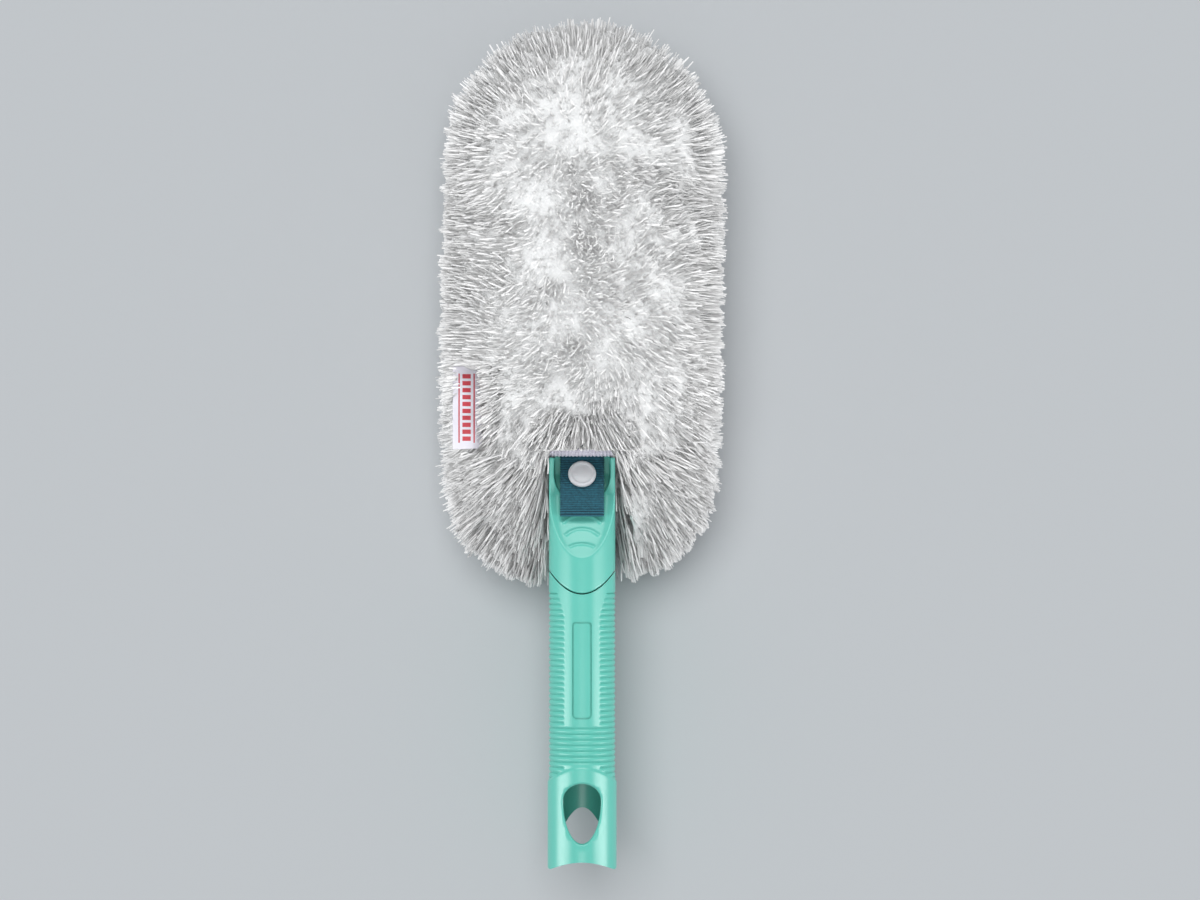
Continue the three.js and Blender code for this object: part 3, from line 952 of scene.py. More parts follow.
        low, high, wide = self.panel_base, self.panel_base + self.panel_length, self.groove
        frame = rounded(self.panel_half, low, high, 2.0)
        outer = Bench.prism("groove_tool", frame, 5, 20, Plane.FRONT)
        bare = rounded(self.panel_half - wide, low + wide, high - wide, 1.2)
        Bench.combine(outer, Bench.prism("bare", bare, 4, 21, Plane.FRONT), "DIFFERENCE")
        core = Bench.turned("core", [(self.radius - 0.5, 60), (self.radius - 0.5, 122)], self.sides)
        Bench.combine(outer, core, "DIFFERENCE")
        return outer

    def build(self, finishes: Finishes) -> None:
        """Models and dresses the grip.

        Args:
            finishes: The duster's finishes.
        """
        grip = self.tube()
        upper = self.socket_depth + self.bulkhead
        inner = self.socket_radius
        mouth = [(inner + 0.9, -2), (inner + 0.9, 0), (inner, 0.9)]
        socket = Bench.turned("socket", [*mouth, (inner, self.socket_depth)], self.sides)
        bore = Bench.turned("bore", [(self.plug_bore, upper), (self.plug_bore, 150)], self.sides)
        seam, deep = self.length - self.seam_gap, self.tool_reach
        tools = [
            bore,
            self.parabola("seam", seam, self.seam_rise, 170, -deep, deep),
            self.parabola("front_scallop", self.front_scallop, -self.front_scallop, -30, 0, deep),
            self.parabola("rear_scallop", self.rear_scallop, -self.rear_scallop, -30, -deep, 0),
            self.window(),
            self.panel_groove(),
        ]
        for tool in tools:
            Bench.combine(socket, tool, "UNION")
        Bench.combine(grip, socket, "DIFFERENCE")
        Bench.smooth(grip, 38)
        Bench.place(grip)
        dress(grip, finishes.turquoise, Body.GRIP, ["grip_shell"])


@dataclass
class Neck:
    """The plug-in neck: a scooped thumb rest, a pocket for the press stud, and a flat ferrule."""

    mouth: float = 188.8
    lip: float = 142.8
    ramp: float = math.radians(27)
    rim: float = 0.6
    inner_half: float = 13.0
    pocket_low: float = 167.5
    pocket_end: float = 13.5
    strap_angle: float = math.radians(24)
    strap_root: float = 188.5
    strap_root_z: float = -6.046
    stack: float = 3.4
    plug_radius: float = 12.1
    plug_wall: float = 2.2
    plug_length: float = 40.0
    ferrule_half: float = 13.0
    ferrule_end: float = 222.8
    ferrule_high: float = -6.346
    ferrule_low: float = -12.546
    snap_y: float = 179.9
    dish: float = 2.6
    voxel: float = 0.34
    strap_length: float = 29.6
    # Each thumb ridge: its distance past the lip, half its width, and its bow.
    ridges: tuple[tuple[float, float, float], ...] = (
        (8.0, 5.9, 1.9),
        (16.0, 8.0, 4.0),
        (23.4, 9.0, 5.0),
    )
    grip: Grip = field(default_factory=Grip)

    def strap_z(self, y: float) -> float:
        """Gives the height of the strap's underside at a distance along the handle."""
        return self.strap_root_z + (self.strap_root - y) * math.tan(self.strap_angle)

    def snap_matrix(self) -> Matrix:
        """Gives the press stud's frame, whose Y leaves the strap at right angles."""
        turn = Matrix.Rotation(math.pi / 2 - self.strap_angle, 4, "X")
        return Matrix.Translation((0, self.snap_y, self.strap_z(self.snap_y))) @ turn

    def stud_tool(self, name: str, radius: float, low: float, high: float) -> Piece:
        """Makes a round tool on the press stud's axis.

        Args:
            name: The tool's name.
            radius: Its radius.
            low: Where it starts.
            high: Where it ends.

        Returns:
            The closed tool.
        """
        tool = Bench.turned(name, [(radius, low), (radius, high)], 48)
        Bench.turn(tool, self.snap_matrix())
        return tool

    def ridge(self, along: float, half: float, rise: float) -> Piece:
        """Makes one curved thumb ridge on the ramp.

        Args:
            along: Its distance past the lip, down the ramp.
            half: Half its width.
            rise: How far it is bowed.

        Returns:
            The ridge, set into the ramp.
        """
        bow = (half * half + rise * rise) / (2 * rise)
        reach = math.asin(half / bow)
        turn = np.linspace(math.pi / 2 - reach, math.pi / 2 + reach, 25)
        outer = [(bow * math.cos(a), along - bow + bow * math.sin(a)) for a in turn]
        thin = bow - 1.1
        inner = [(thin * math.cos(a), along - bow + thin * math.sin(a)) for a in turn[::-1]]
        tool = Bench.prism("ridge", outer + inner, -6, 0.75, Plane.FRONT)
        for vertex in tool.data.vertices:
            if vertex.co.z > 0:
                deep = float(np.interp(vertex.co.y, [0, 8, 20], [0, 1.2, self.dish]))
                vertex.co.z -= deep * math.sqrt(max(0.0, 1 - (vertex.co.x / 12.5) ** 2))
        down = Matrix.Rotation(-self.ramp, 4, "X")
        Bench.turn(tool, Matrix.Translation((0, self.lip, self.grip.radius)) @ down)
        return tool

    def scoop(self) -> Piece:
        """Makes the tool for the thumb rest: a ramp that is dished between its two rims.

        Returns:
            The closed tool.
        """
        along, across = np.linspace(self.lip - 9, self.mouth + 3, 90), np.linspace(-20, 20, 81)
        y, x = np.meshgrid(along, across, indexing="ij")
        ramp = np.maximum(self.grip.radius - (y - self.lip) * math.tan(self.ramp), self.rim)
        rim_half = np.sqrt(np.clip(self.grip.radius**2 - ramp**2, 0.5, None))
        places = [self.lip, self.lip + 8, self.lip + 20, self.mouth]
        dish = np.interp(y, places, [0, 1.2, self.dish, self.dish])
        inside = np.clip(1 - (x / (rim_half - 0.4)) ** 2, 0, 1)
        z = ramp - dish * np.sqrt(inside) * np.clip(inside * 3, 0, 1) ** 0.3
        tool = Bench.sheet("scoop", np.stack([x, y, z], axis=-1))
        Bench.extrude(tool, (0, 0, 40))
        return tool

    def shell(self) -> Piece:
        """Models the part of the neck that shows, with its soft moulded edges.

        Returns:
            The neck that shows.
        """
        grip, deep, top = self.grip, self.grip.tool_reach, self.mouth - 0.3
        shell = Bench.turned("neck", [(grip.radius, grip.length - 5), (grip.radius, top)], 160)
        seam = grip.parabola("seam", grip.length + grip.seam_gap, grip.seam_rise, 60, -deep, deep)
        Bench.combine(shell, seam, "DIFFERENCE")
        cavity = [(9.9, grip.length - 9), (9.9, grip.length + 6), (6.9, grip.length + 12)]
        hollow = Bench.turned("hollow", cavity, 96)
        scoop = self.scoop()
        strap_end = self.strap_root - self.strap_length * math.cos(self.strap_angle)
        drop = self.stack / math.cos(self.strap_angle)
        end_z = self.strap_z(strap_end) - drop
        flat = strap_end + (end_z - self.ferrule_high) / math.tan(self.strap_angle)
        past = self.mouth + 2
        floor = [(strap_end, end_z), (flat, self.ferrule_high), (past, self.ferrule_high)]
        well = Bench.prism("well", [*floor, (past, 12), (strap_end, 12)], -20, 20, Plane.SIDE)
        bend = np.linspace(math.pi, 2 * math.pi, 49)
        centre = self.pocket_low + self.pocket_end
        pocket_line = [(self.inner_half, past), (-self.inner_half, past)]
        pocket_line += [
            (self.inner_half * math.cos(a), centre + self.pocket_end * math.sin(a)) for a in bend
        ]
        pocket = Bench.prism("pocket", pocket_line, -20, 20, Plane.FRONT)
        Bench.combine(pocket, well, "INTERSECT")
        taper, end = self.mouth - 24, self.mouth + 1
        slope = [(taper, -grip.radius), (end, self.ferrule_low - 0.1), (end, -25)]
        below = [(taper - 20, -25), (taper - 20, -grip.radius - 0.02)]
        back = Bench.prism("back", slope + below, -20, 20, Plane.SIDE)
        tools = [
            hollow,
            scoop,
            pocket,
            self.stud_tool("counterbore", 6.2, -self.stack, 3),
            self.stud_tool("stud_hole", 1.6, -self.stack - 2.4, 0),
            back,
        ]
        for tool in tools:
            Bench.combine(shell, tool, "DIFFERENCE")
        for ridge in self.ridges:
            Bench.combine(shell, self.ridge(*ridge), "UNION")
        Bench.modify(shell, "REMESH", mode="VOXEL", voxel_size=self.voxel, adaptivity=0)
        Bench.modify(shell, "SMOOTH", factor=0.5, iterations=7)
        Bench.take(shell)
        bpy.ops.object.shade_smooth()
        return shell

    def core(self) -> Piece:
        """Models the plug and the ferrule, which the grip and the cover hide at rest.

        Returns:
            The plug and the ferrule in one piece.
        """
        end = self.grip.length - self.plug_length
        inner = self.plug_radius - self.plug_wall
        outer, top = self.plug_radius, self.grip.length + 4
        outside = [(inner, end), (outer - 1, end), (outer - 0.3, end + 0.5), (outer, end + 1.5)]
        inside = [(inner + 0.2, top + 1), (inner + 0.2, top), (inner, end + 1), (inner, end)]
        plug = Bench.turned("neck_plug", [*outside, (outer, top), *inside], 96)
        low, high = self.mouth - 8, self.ferrule_end
        half, corner = self.ferrule_half, 3.0
        points = [(-half, low), (half, low)]
        for cx, start in ((half - corner, 0), (corner - half, 90)):
            for a in np.radians(np.linspace(start, start + 90, 9)):
                points.append((cx + corner * math.cos(a), high - corner + corner * math.sin(a)))
        floor, roof = self.ferrule_low, self.ferrule_high
        ferrule = Bench.prism("ferrule", points, floor + 0.05, roof - 0.05, Plane.FRONT)
        slot = [(-9.3, self.mouth + 1), (9.3, self.mouth + 1), (9.3, high + 5), (-9.3, high + 5)]
        tool = Bench.prism("slot", slot, floor + 1.4, roof - 1.4, Plane.FRONT)
        Bench.combine(ferrule, tool, "DIFFERENCE")
        Bench.modify(ferrule, "BEVEL", width=0.4, segments=2, limit_method="ANGLE")
        Bench.take(plug)
        ferrule.select_set(True)
        bpy.ops.object.join()
        Bench.smooth(plug, 40)
        return plug

    def build(self, finishes: Finishes) -> None:
        """Models and dresses the neck.

        Args:
            finishes: The duster's finishes.
        """
        for piece in (self.shell(), self.core()):
            dress(Bench.place(piece), finishes.turquoise, Body.HEAD, ["neck_shell"])


@dataclass
class Cover:
    """The cover without its pile: two cloths, an edge tape, a knit binding and a sewn label."""

    half: float = 41.0
    top: float = 364.0
    bottom: float = 152.0
    mouth: float = 188.8
    front_low: float = 193.7
    front_z: float = -5.55
    back_z: float = -13.35
    neck_back_z: float = -16.0
    taper: float = 164.8
    cloth: float = 0.8
    front_corner: float = 1.0
    back_corner: float = 28.0
    binding_half: float = 38.0
    binding_height: float = 4.6
    binding_base: float = -6.0
    binding_thickness: float = 2.9
    rib: float = 1.65
    label_inner: float = -43.3
    label_width: float = 16.0
    label_base: float = 192.0
    label_length: float = 38.0
    label_z: float = -7.2
    label_rise: float = 8.0
    label_thickness: float = 0.45

    def edge(self, low: float, corner: float, inset: float = 0.0, count: int = 96) -> Array:
        """Gives the cover's outline.

        Args:
            low: The outline's low end.
            corner: The radius of its two low corners.
            inset: How far inside the cloth's edge it runs.
            count: The number of points.

        Returns:
            Points at equal steps, from the middle of the low end.
        """
        half, high, base = self.half - inset, self.top - inset, low + inset
        points = [(0.0, base)]
        for a in np.radians(np.linspace(-90, 0, 13)):
            points.append((half - corner + corner * math.cos(a), base + corner + corner * math.sin(a)))
        for a in np.radians(np.linspace(0, 180, 41)):
            points.append((half * math.cos(a), high - half + half * math.sin(a)))
        for a in np.radians(np.linspace(180, 270, 13)):
            points.append((corner - half + corner * math.cos(a), base + corner + corner * math.sin(a)))
        points.append((0.0, base))
        line = np.array(points)
        steps = np.concatenate([[0], np.cumsum(np.linalg.norm(np.diff(line, axis=0), axis=1))])
        wanted = np.linspace(0, steps[-1], count, endpoint=False)
        return np.stack([np.interp(wanted, steps, line[:, i]) for i in (0, 1)], axis=-1)

    def back_height(self, y: Array) -> Array:
        """Gives the back cloth's height along the handle."""
        return np.interp(y, [self.taper, self.mouth], [self.neck_back_z, self.back_z])

    def panel(self, name: str, low: float, corner: float, is_back: bool) -> Piece:
        """Models one cloth from its outline inwards.

        Args:
            name: The piece's name.
            low: The cloth's low end.
            corner: The radius of its low corners.
            is_back: Whether it is the back cloth, which follows the neck.

        Returns:
            The cloth, with its thickness.
        """
        line = self.edge(low, corner)
        middle = np.array([0.0, (low + self.top) / 2])
        rings = []
        for share in np.linspace(1, 0, 14):
            flat = middle + (line - middle) * share
            z = self.back_height(flat[:, 1]) if is_back else np.full(len(flat), self.front_z)
            rings.append(np.column_stack([flat, z]))
        cloth = Bench.sheet(name, np.concatenate([np.array(rings), np.array(rings)[:, :1]], axis=1))
        Bench.merge(cloth)
        Bench.modify(cloth, "SOLIDIFY", thickness=self.cloth, offset=0)
        Bench.outward(cloth)
        Bench.smooth(cloth, 50)
        return cloth

    def edge_tape(self) -> Piece:
        """Models the tape that closes the two cloths round their edge, as a bowed strip.

        Returns:
            The closed strip.
        """
        line = self.edge(self.front_low, self.front_corner, -0.5, 160)
        keep = line[(line[:, 1] > self.front_low + 0.6)]
        section = [(0.15, -5.2), (1.5, -6.2), (2.1, -9.4), (1.5, -12.8), (0.15, -13.8), (0.0, -9.4)]
        before = np.roll(keep, 1, axis=0)
        after = np.roll(keep, -1, axis=0)
        before[0], after[-1] = keep[0], keep[-1]
        along = after - before
        along /= np.linalg.norm(along, axis=1)[:, None]
        out = np.column_stack([along[:, 1], -along[:, 0]])
        rings = [
            [(p[0] + o[0] * grow, p[1] + o[1] * grow, z) for grow, z in section]
            for p, o in zip(keep, out)
        ]
        tape = Bench.rolled("cover_edge_tape", np.array(rings))
        Bench.smooth(tape, 60)
        return tape

    def binding(self) -> Piece:
        """Models the knit binding, whose ribs run up and over the mouth's edge.

        Returns:
            The closed binding.
        """
        low, high = self.mouth, self.mouth + self.binding_height
        base, crown = self.binding_base, self.binding_base + self.binding_thickness
        upper = [(high, base), (high, crown - 1.0), (high - 0.5, crown - 0.35), (high - 1.3, crown)]
        lower = [(low + 2.0, crown), (low + 0.9, crown - 0.25), (low + 0.25, crown - 0.9)]
        hem = [(low, crown - 1.7), (low + 0.1, base + 0.3), (low + 0.4, base)]
        section = np.array(upper + lower + hem)
        middle = section.mean(axis=0)
        columns = np.arange(-self.binding_half, self.binding_half + 0.01, self.rib / 8)
        rings = []
        for x in columns:
            swell = abs(math.sin(math.pi * x / self.rib)) ** 0.6
            wander = 0.12 * math.sin(x * 0.9) + 0.08 * math.sin(x * 2.3 + 1)
            shape = middle + (section - middle) * (0.72 + 0.28 * swell)
            rings.append([(x + 0.1 * wander, y, z + wander * 0.6) for y, z in shape])
        binding = Bench.rolled("knit_mouth_binding", np.array(rings))
        Bench.smooth(binding, 60)
        return binding

    def label_height(self, across: Array, along: Array) -> Array:
        """Gives the label's height at shares of its width and length."""
        rise = self.label_rise * (1 - (1 - across) ** 2)
        return self.label_z + rise + 0.9 * np.sin(along * 4.1 + 0.4) * across**2

    def label_shares(self, x: Array, y: Array) -> tuple[Array, Array]:
        """Gives the shares of the label's width and length at which points lie."""
        return (self.label_inner - x) / self.label_width, (y - self.label_base) / self.label_length

    def label(self) -> Piece:
        """Models the sewn label, which rises from the cover's edge and waves a little along its length.

        Returns:
            The label, with its thickness.
        """
        v, u = np.meshgrid(np.linspace(0, 1, 33), np.linspace(0, 1, 25), indexing="ij")
        x = self.label_inner - self.label_width * u
        y = self.label_base + self.label_length * v + 0.5 * np.sin(u * 3)
        label = Bench.sheet("sewn_side_label", np.stack([x, y, self.label_height(u, v)], axis=-1))
        Bench.modify(label, "SOLIDIFY", thickness=self.label_thickness, offset=0)
        Bench.outward(label)
        Bench.smooth(label, 50)
        return label

    def build(self, finishes: Finishes) -> None:
        """Models and dresses the cover's cloths and trims.

        Args:
            finishes: The duster's finishes.
        """
        front = Bench.place(self.panel("front_cloth", self.front_low, self.front_corner, False))
        dress(front, finishes.cloth, Body.HEAD, ["front_panel"])
        back = Bench.place(self.panel("back_cloth", self.bottom, self.back_corner, True))
        dress(back, finishes.cloth, Body.HEAD, ["back_panel"])
        tape = Bench.place(self.edge_tape())
        dress(tape, finishes.cloth, Body.HEAD, ["edge_tape"])
        binding = Bench.place(self.binding())
        dress(binding, finishes.knit, Body.HEAD, ["mouth_binding"])
        label = Bench.place(self.label())
        dress(label, finishes.satin, Body.HEAD, ["side_label"])


@dataclass
class ClosingStrap:
    """The webbing strap and its press-stud cap."""

    width: float = 20.0
    thickness: float = 1.25
    selvedge: float = 1.2
    folded: float = 5.5
    rib: float = 1.18
    rib_height: float = 0.16
    seed: int = 11
    neck: Neck = field(default_factory=Neck)

    def wave(self, s: float) -> float:
        """Gives the rib's share of its height at a distance from the root, wider at the end.

        Args:
            s: A distance from the root.

        Returns:
            The share, from 0 to 1.
        """
        fold = max(0.0, (s - (self.neck.strap_length - self.folded)) / self.folded)
        turns = (s - self.neck.strap_length) / (self.rib * (1 + 0.25 * fold))
        return 0.5 + 0.5 * math.cos(2 * math.pi * turns)

    def strength(self, s: float) -> float:
        """Gives how strongly the ribs stand out at a distance from the root."""
        return float(np.interp(s, [14, 17, 22, 24.5, 26], [1.0, 0.45, 0.45, 0.9, 1.9]))

    def webbing(self) -> Piece:
        """Models the strap with its ribs across, its selvedges and its folded end.

        Returns:
            The closed strap.
        """
        length, half, hem = self.neck.strap_length, self.width / 2, self.selvedge
        count = int(length / self.rib * 8)
        along = np.linspace(0, length, count)
        middle = np.linspace(-half + 1.6, half - 1.6, 30)
        across = np.concatenate(
            [np.linspace(-half, -half + hem, 5), middle, np.linspace(half - hem, half, 5)]
        )
        wobble = np.random.default_rng(self.seed).normal(0, 0.05, count)
        top, under = [], []
        for s, jitter in zip(along, wobble):
            wave = self.wave(s)
            high = self.thickness + self.rib_height * self.strength(s) * (wave - 0.5)
            for x in across:
                selvedge = max(0.0, (abs(x) - half + hem) / hem)
                edge = half + 0.1 * math.sin(2 * math.pi * s / self.rib) + jitter
                place = x * edge / half
                round_off = 0.42 * selvedge**2
                top.append((place, s, high - round_off + 0.04 * math.sin(x * 1.7 + s * 0.3)))
                under.append((place, s, 0.12 + 0.5 * round_off))
        size = (count, len(across), 3)
        upper = np.array(top).reshape(size)
        lower = np.array(under).reshape(size)
        rings = np.concatenate([upper, lower[:, ::-1]], axis=1)
        strap = Bench.rolled("webbing_strap", rings)
        # The weave attribute is lower in the rib valleys, where the webbing's material paints shade.
        attribute = strap.data.attributes.new("weave", "FLOAT_COLOR", "POINT")
        for vertex, value in zip(strap.data.vertices, attribute.data):
            s = vertex.co.y
            value.color = (0.65 + 0.35 * self.strength(s) * (2 * self.wave(s) - 1), 0, 0, 1)
        slope = Matrix.Rotation(math.pi - self.neck.strap_angle, 4, "X")
        flip = Matrix.Scale(-1, 4, (0, 0, 1))
        root = Matrix.Translation((0, self.neck.strap_root, self.neck.strap_root_z))
        Bench.turn(strap, root @ slope @ flip)
        Bench.outward(strap)
        Bench.smooth(strap, 70)
        return strap

    def cap(self) -> Piece:
        """Models the cap: a post, a rounded rim and a slightly dished face.

        Returns:
            The closed cap.
        """
        base, crown = 1.7, 3.6
        post = [(0.001, -0.6), (1.3, -0.6), (1.3, base)]
        under = [(5.9, base), (6.2, base + 0.12), (6.38, base + 0.4), (6.4, base + 0.8)]
        rim = [(6.36, crown - 0.75), (6.22, crown - 0.4), (5.98, crown - 0.16), (5.6, crown - 0.02)]
        dish = [(5.2, crown), (4.85, crown - 0.1), (4.6, crown - 0.24), (4.3, crown - 0.3)]
        face = [(3.0, crown - 0.28), (0.001, crown - 0.22)]
        cap = Bench.turned("press_stud_cap", post + under + rim + dish + face, 96)
        Bench.turn(cap, self.neck.snap_matrix())
        Bench.smooth(cap, 40)
        return cap

    def build(self, finishes: Finishes) -> None:
        """Models and dresses the strap and its cap.

        Args:
            finishes: The duster's finishes.
        """
        strap = Bench.place(self.webbing())
        dress(strap, finishes.webbing, Body.STRAP, ["closing_strap"])
        cap = Bench.place(self.cap())
        dress(cap, finishes.snap, Body.STRAP, ["snap_cap"])


@dataclass
class Pile:
    """The long cut pile, grown strand by strand from the cloths, in seeded random order."""

    seed: int = 20
    segments: int = 5
    strand: float = 28.0
    # Coarser than real microfibre, so that single strands show in the render.
    width: float = 0.8
    head_half: float = 65.8
    head_top: float = 391.0
    head_bottom: float = 130.0
    top_radius: float = 65.0
    top_power: float = 2.25
    low_corner: float = 52.0
    # The head leans to one side, the more so from this place down to its mouth.
    upper_shift: float = 1.1
    lower_shift: float = -3.6
    shift_from: float = 310.0
    shift_over: float = 120.0
    front_z: float = -4.9
    floor_z: float = -37.6
    fluff_voxel: float = 2.2
    fluff_inset: float = 3.6
    back_inset: float = 11.0
    back_middle: float = 0.065
    back_shrink: tuple[float, float] = (0.78, 0.86)
    cover_share: float = 0.87
    cover_depth: float = 0.8
    cover_least: int = 6
    cover_slope: float = 0.25
    sweep_start: float = 192.6
    sweep_base: float = -4.5
    sweep: float = math.radians(26)
    sweep_room: float = 3.0
    squash_behind: float = 5.0
    squash_share: float = 0.12
    strap_half: float = 10.8
    strap_slack: float = 2.5
    strap_low: float = -6.0
    neck_radius: float = 15.8
    neck_end: float = 189.5
    # The cut ends stand in locks round the edge, each a little longer or shorter than the next.
    lock_count: int = 400
    lock_pitch: float = 2.2
    edge_radius: float = 90.0
    edge_middle: float = 262.0
    tuft_count: int = 230
    tuft_turn: float = 0.9
    front_spine: tuple[float, float] = (236.0, 316.0)
    rim_spine: tuple[float, float] = (205.0, 320.0)
    back_spine: tuple[float, float] = (200.0, 318.0)
    over_label: float = 0.45
    softness: float = 0.85
    pad_spine: tuple[float, float] = (215.0, 315.0)
    pad_z: float = -12.0
    pad_radii: tuple[float, float, float] = (65.0, 65.0, 28.0)
    grid_cell: float = 3.0
    grid_low: tuple[float, float] = (-80.0, 120.0)
    grid_size: tuple[float, float] = (160.0, 280.0)
    front_batches: int = 5
    front_count: int = 4600
    rim_droops: tuple[float, ...] = (0.0, 0.0, 0.5)
    rim_count: int = 3400
    back_batches: int = 2
    back_count: int = 3400
    flap_count: int = 3900
    fringe_count: int = 1400
    cover: Cover = field(default_factory=Cover)

    def outside(self, x: Array, y: Array) -> Array:
        """Gives how far points lie outside the head's outline.

        Args:
            x: Distances across.
            y: Distances along the handle.

        Returns:
            Positive outside, negative inside.
        """
        top = self.head_top - self.top_radius
        low = self.head_bottom + self.low_corner
        inner = self.head_half - self.low_corner
        lower = np.clip((self.shift_from - y) / self.shift_over, 0, 1)
        x = x - self.upper_shift - self.lower_shift * lower
        power = self.top_power
        upper = (np.abs(x) ** power + np.maximum(y - top, 0) ** power) ** (1 / power) - self.top_radius
        dx = np.maximum(np.abs(x) - inner, 0)
        lower = np.hypot(dx, np.minimum(y - low, 0)) - self.low_corner
        return np.where(y > (top + low) / 2, upper, lower)

    def sow(self, rng: Rng, count: int, low: float, corner: float) -> Array:
        """Scatters roots over a cloth.

        Args:
            rng: The seeded source.
            count: The number of roots.
            low: The cloth's low end.
            corner: The radius of its low corners.

        Returns:
            Root positions across and along.
        """
        half, top = self.cover.half, self.cover.top
        found = np.zeros((0, 2))
        while len(found) < count:
            p = np.column_stack([rng.uniform(-half, half, 4 * count), rng.uniform(low, top, 4 * count)])
            dx = np.maximum(np.abs(p[:, 0]) - (half - corner), 0)
            dy = np.minimum(p[:, 1] - (low + corner), 0)
            high = np.hypot(p[:, 0], np.maximum(p[:, 1] - (top - half), 0)) < half
            found = np.concatenate([found, p[high & (np.hypot(dx, dy) < corner)]])
        return found[:count]

    def curve(self, roots: Array, first: Array, last: Array, lengths: Array) -> Array:
        """Bends strands from a first direction to a last one.

        Args:
            roots: Where they start.
            first: Their directions at the root.
            last: Their directions at the tip.
            lengths: Their lengths.

        Returns:
            Strands by points by three coordinates.
        """
        share = (np.arange(self.segments) + 0.5) / self.segments
        heading = first[:, None] * (1 - share)[None, :, None] + last[:, None] * share[None, :, None]
        steps = unit(heading) * (lengths / self.segments)[:, None, None]
        return np.concatenate([roots[:, None], roots[:, None] + np.cumsum(steps, axis=1)], axis=1)

    def gather(self, rng: Rng, lines: Array, spacing: float, pull: Array) -> Array:
        """Draws neighbouring strands together towards their tips, into locks.

        Args:
            rng: The seeded source.
            lines: The strands' points.
            spacing: The usual distance between locks.
            pull: How strongly each strand is drawn in, from 0 to 1.

        Returns:
            The strands' new points.
        """
        roots = lines[:, 0, :2]
        area = (np.ptp(roots[:, 0]) + 1) * (np.ptp(roots[:, 1]) + 1)
        seeds = roots[rng.choice(len(roots), max(4, int(area / spacing**2)), replace=False)]
        nearest = np.argmin(((roots[:, None] - seeds[None]) ** 2).sum(axis=2), axis=1)
        total = np.zeros((len(seeds), *lines.shape[1:]))
        np.add.at(total, nearest, lines)
        counts = np.bincount(nearest, minlength=len(seeds))[:, None, None]
        middle = (total / np.maximum(counts, 1))[nearest]
        share = np.linspace(0, 1, lines.shape[1]) ** 1.4
        lines = lines + (middle - lines) * share[None, :, None] * pull[:, None, None]
        uneven = rng.uniform(0.88, 1.04, len(seeds))[nearest]
        return lines[:, :1] + (lines - lines[:, :1]) * uneven[:, None, None]

    def keep_clear(self, rng: Rng, lines: Array, ragged: float) -> Array:
        """Trims strands to the head's outline, and lays them on the floor and round the neck.

        Args:
            rng: The seeded source.
            lines: The strands' points.
            ragged: How uneven the cut ends are.

        Returns:
            The strands' new points.
        """
        roots = lines[:, :1]
        tip = lines[:, -1]
        round_edge = self.edge_radius * np.arctan2(tip[:, 1] - self.edge_middle, tip[:, 0])
        locks = np.random.default_rng(self.seed + 2).uniform(-0.6, 0.9, self.lock_count)
        lock = round_edge / self.lock_pitch + self.lock_count // 2
        lock = (lock + rng.uniform(-0.3, 0.3, len(tip))).astype(int)
        uneven = locks[lock] + rng.uniform(-0.3, 0.5, len(tip))
        over = self.outside(tip[:, 0], tip[:, 1]) + uneven * ragged
        flat = np.hypot(tip[:, 0] - roots[:, 0, 0], tip[:, 1] - roots[:, 0, 1])
        scale = np.where(over > 0, np.clip(1 - over / np.maximum(flat, 1e-6), 0.25, 1), 1.0)
        lines = roots + (lines - roots) * np.stack([scale, scale, np.ones_like(scale)], axis=1)[:, None]
        lines[..., 2] = np.maximum(lines[..., 2], self.floor_z + rng.uniform(0, 1.2, (len(lines), 1)))
        radius = np.hypot(lines[..., 0], lines[..., 2])
        near = (radius < self.neck_radius) & (lines[..., 1] < self.neck_end)
        grow = np.where(near, self.neck_radius / np.maximum(radius, 1e-6), 1.0)
        lines[..., 0] *= grow
        lines[..., 2] *= grow
        slack = np.clip((np.abs(lines[..., 0]) - self.strap_half) / self.strap_slack, 0, 1)
        above = np.maximum(lines[..., 2] - self.sweep_base, 0)
        limit = self.sweep_start + above * math.tan(self.sweep)
        held = (lines[..., 2] > self.strap_low) & (slack < 1)
        wanted = np.maximum(lines[..., 1], limit)
        lines[..., 1] = np.where(held, wanted + (lines[..., 1] - wanted) * slack, lines[..., 1])
        return self.round_label(rng, lines)

    def round_label(self, rng: Rng, lines: Array) -> Array:
        """Tucks strands under the sewn label, apart from a few that end on its inner side.

        Args:
            rng: The seeded source.
            lines: The strands' points.

        Returns:
            The strands' new points.
        """
        cover = self.cover
        across, along = cover.label_shares(lines[..., 0], lines[..., 1])
        beside = (along > -0.02) & (along < 1.02)
        ends = rng.uniform(-0.1, 0.36, len(lines))
        span = np.maximum(across[:, -1] - across[:, 0], 1e-6)
        scale = np.clip((ends - across[:, 0]) / span, 0.3, 1)
        laid = (rng.uniform(0, 1, len(lines)) < self.over_label) & beside.any(axis=1)
        laid &= (across[:, -1] > 0) & (lines[:, 0, 2] > cover.front_z)
        scale = np.where(laid, scale, 1.0)
        lines = lines[:, :1] + (lines - lines[:, :1]) * scale[:, None, None]
        across, along = cover.label_shares(lines[..., 0], lines[..., 1])
        over = (across > -0.02) & (across < 1.03) & (along > -0.02) & (along < 1.02)
        high = cover.label_height(np.clip(across, 0, 1), np.clip(along, 0, 1))
        under = np.minimum(lines[..., 2], high - 1.1)
        above = np.maximum(lines[..., 2], high + 0.7)
        lines[..., 2] = np.where(over, np.where(laid[:, None], above, under), lines[..., 2])
        return lines

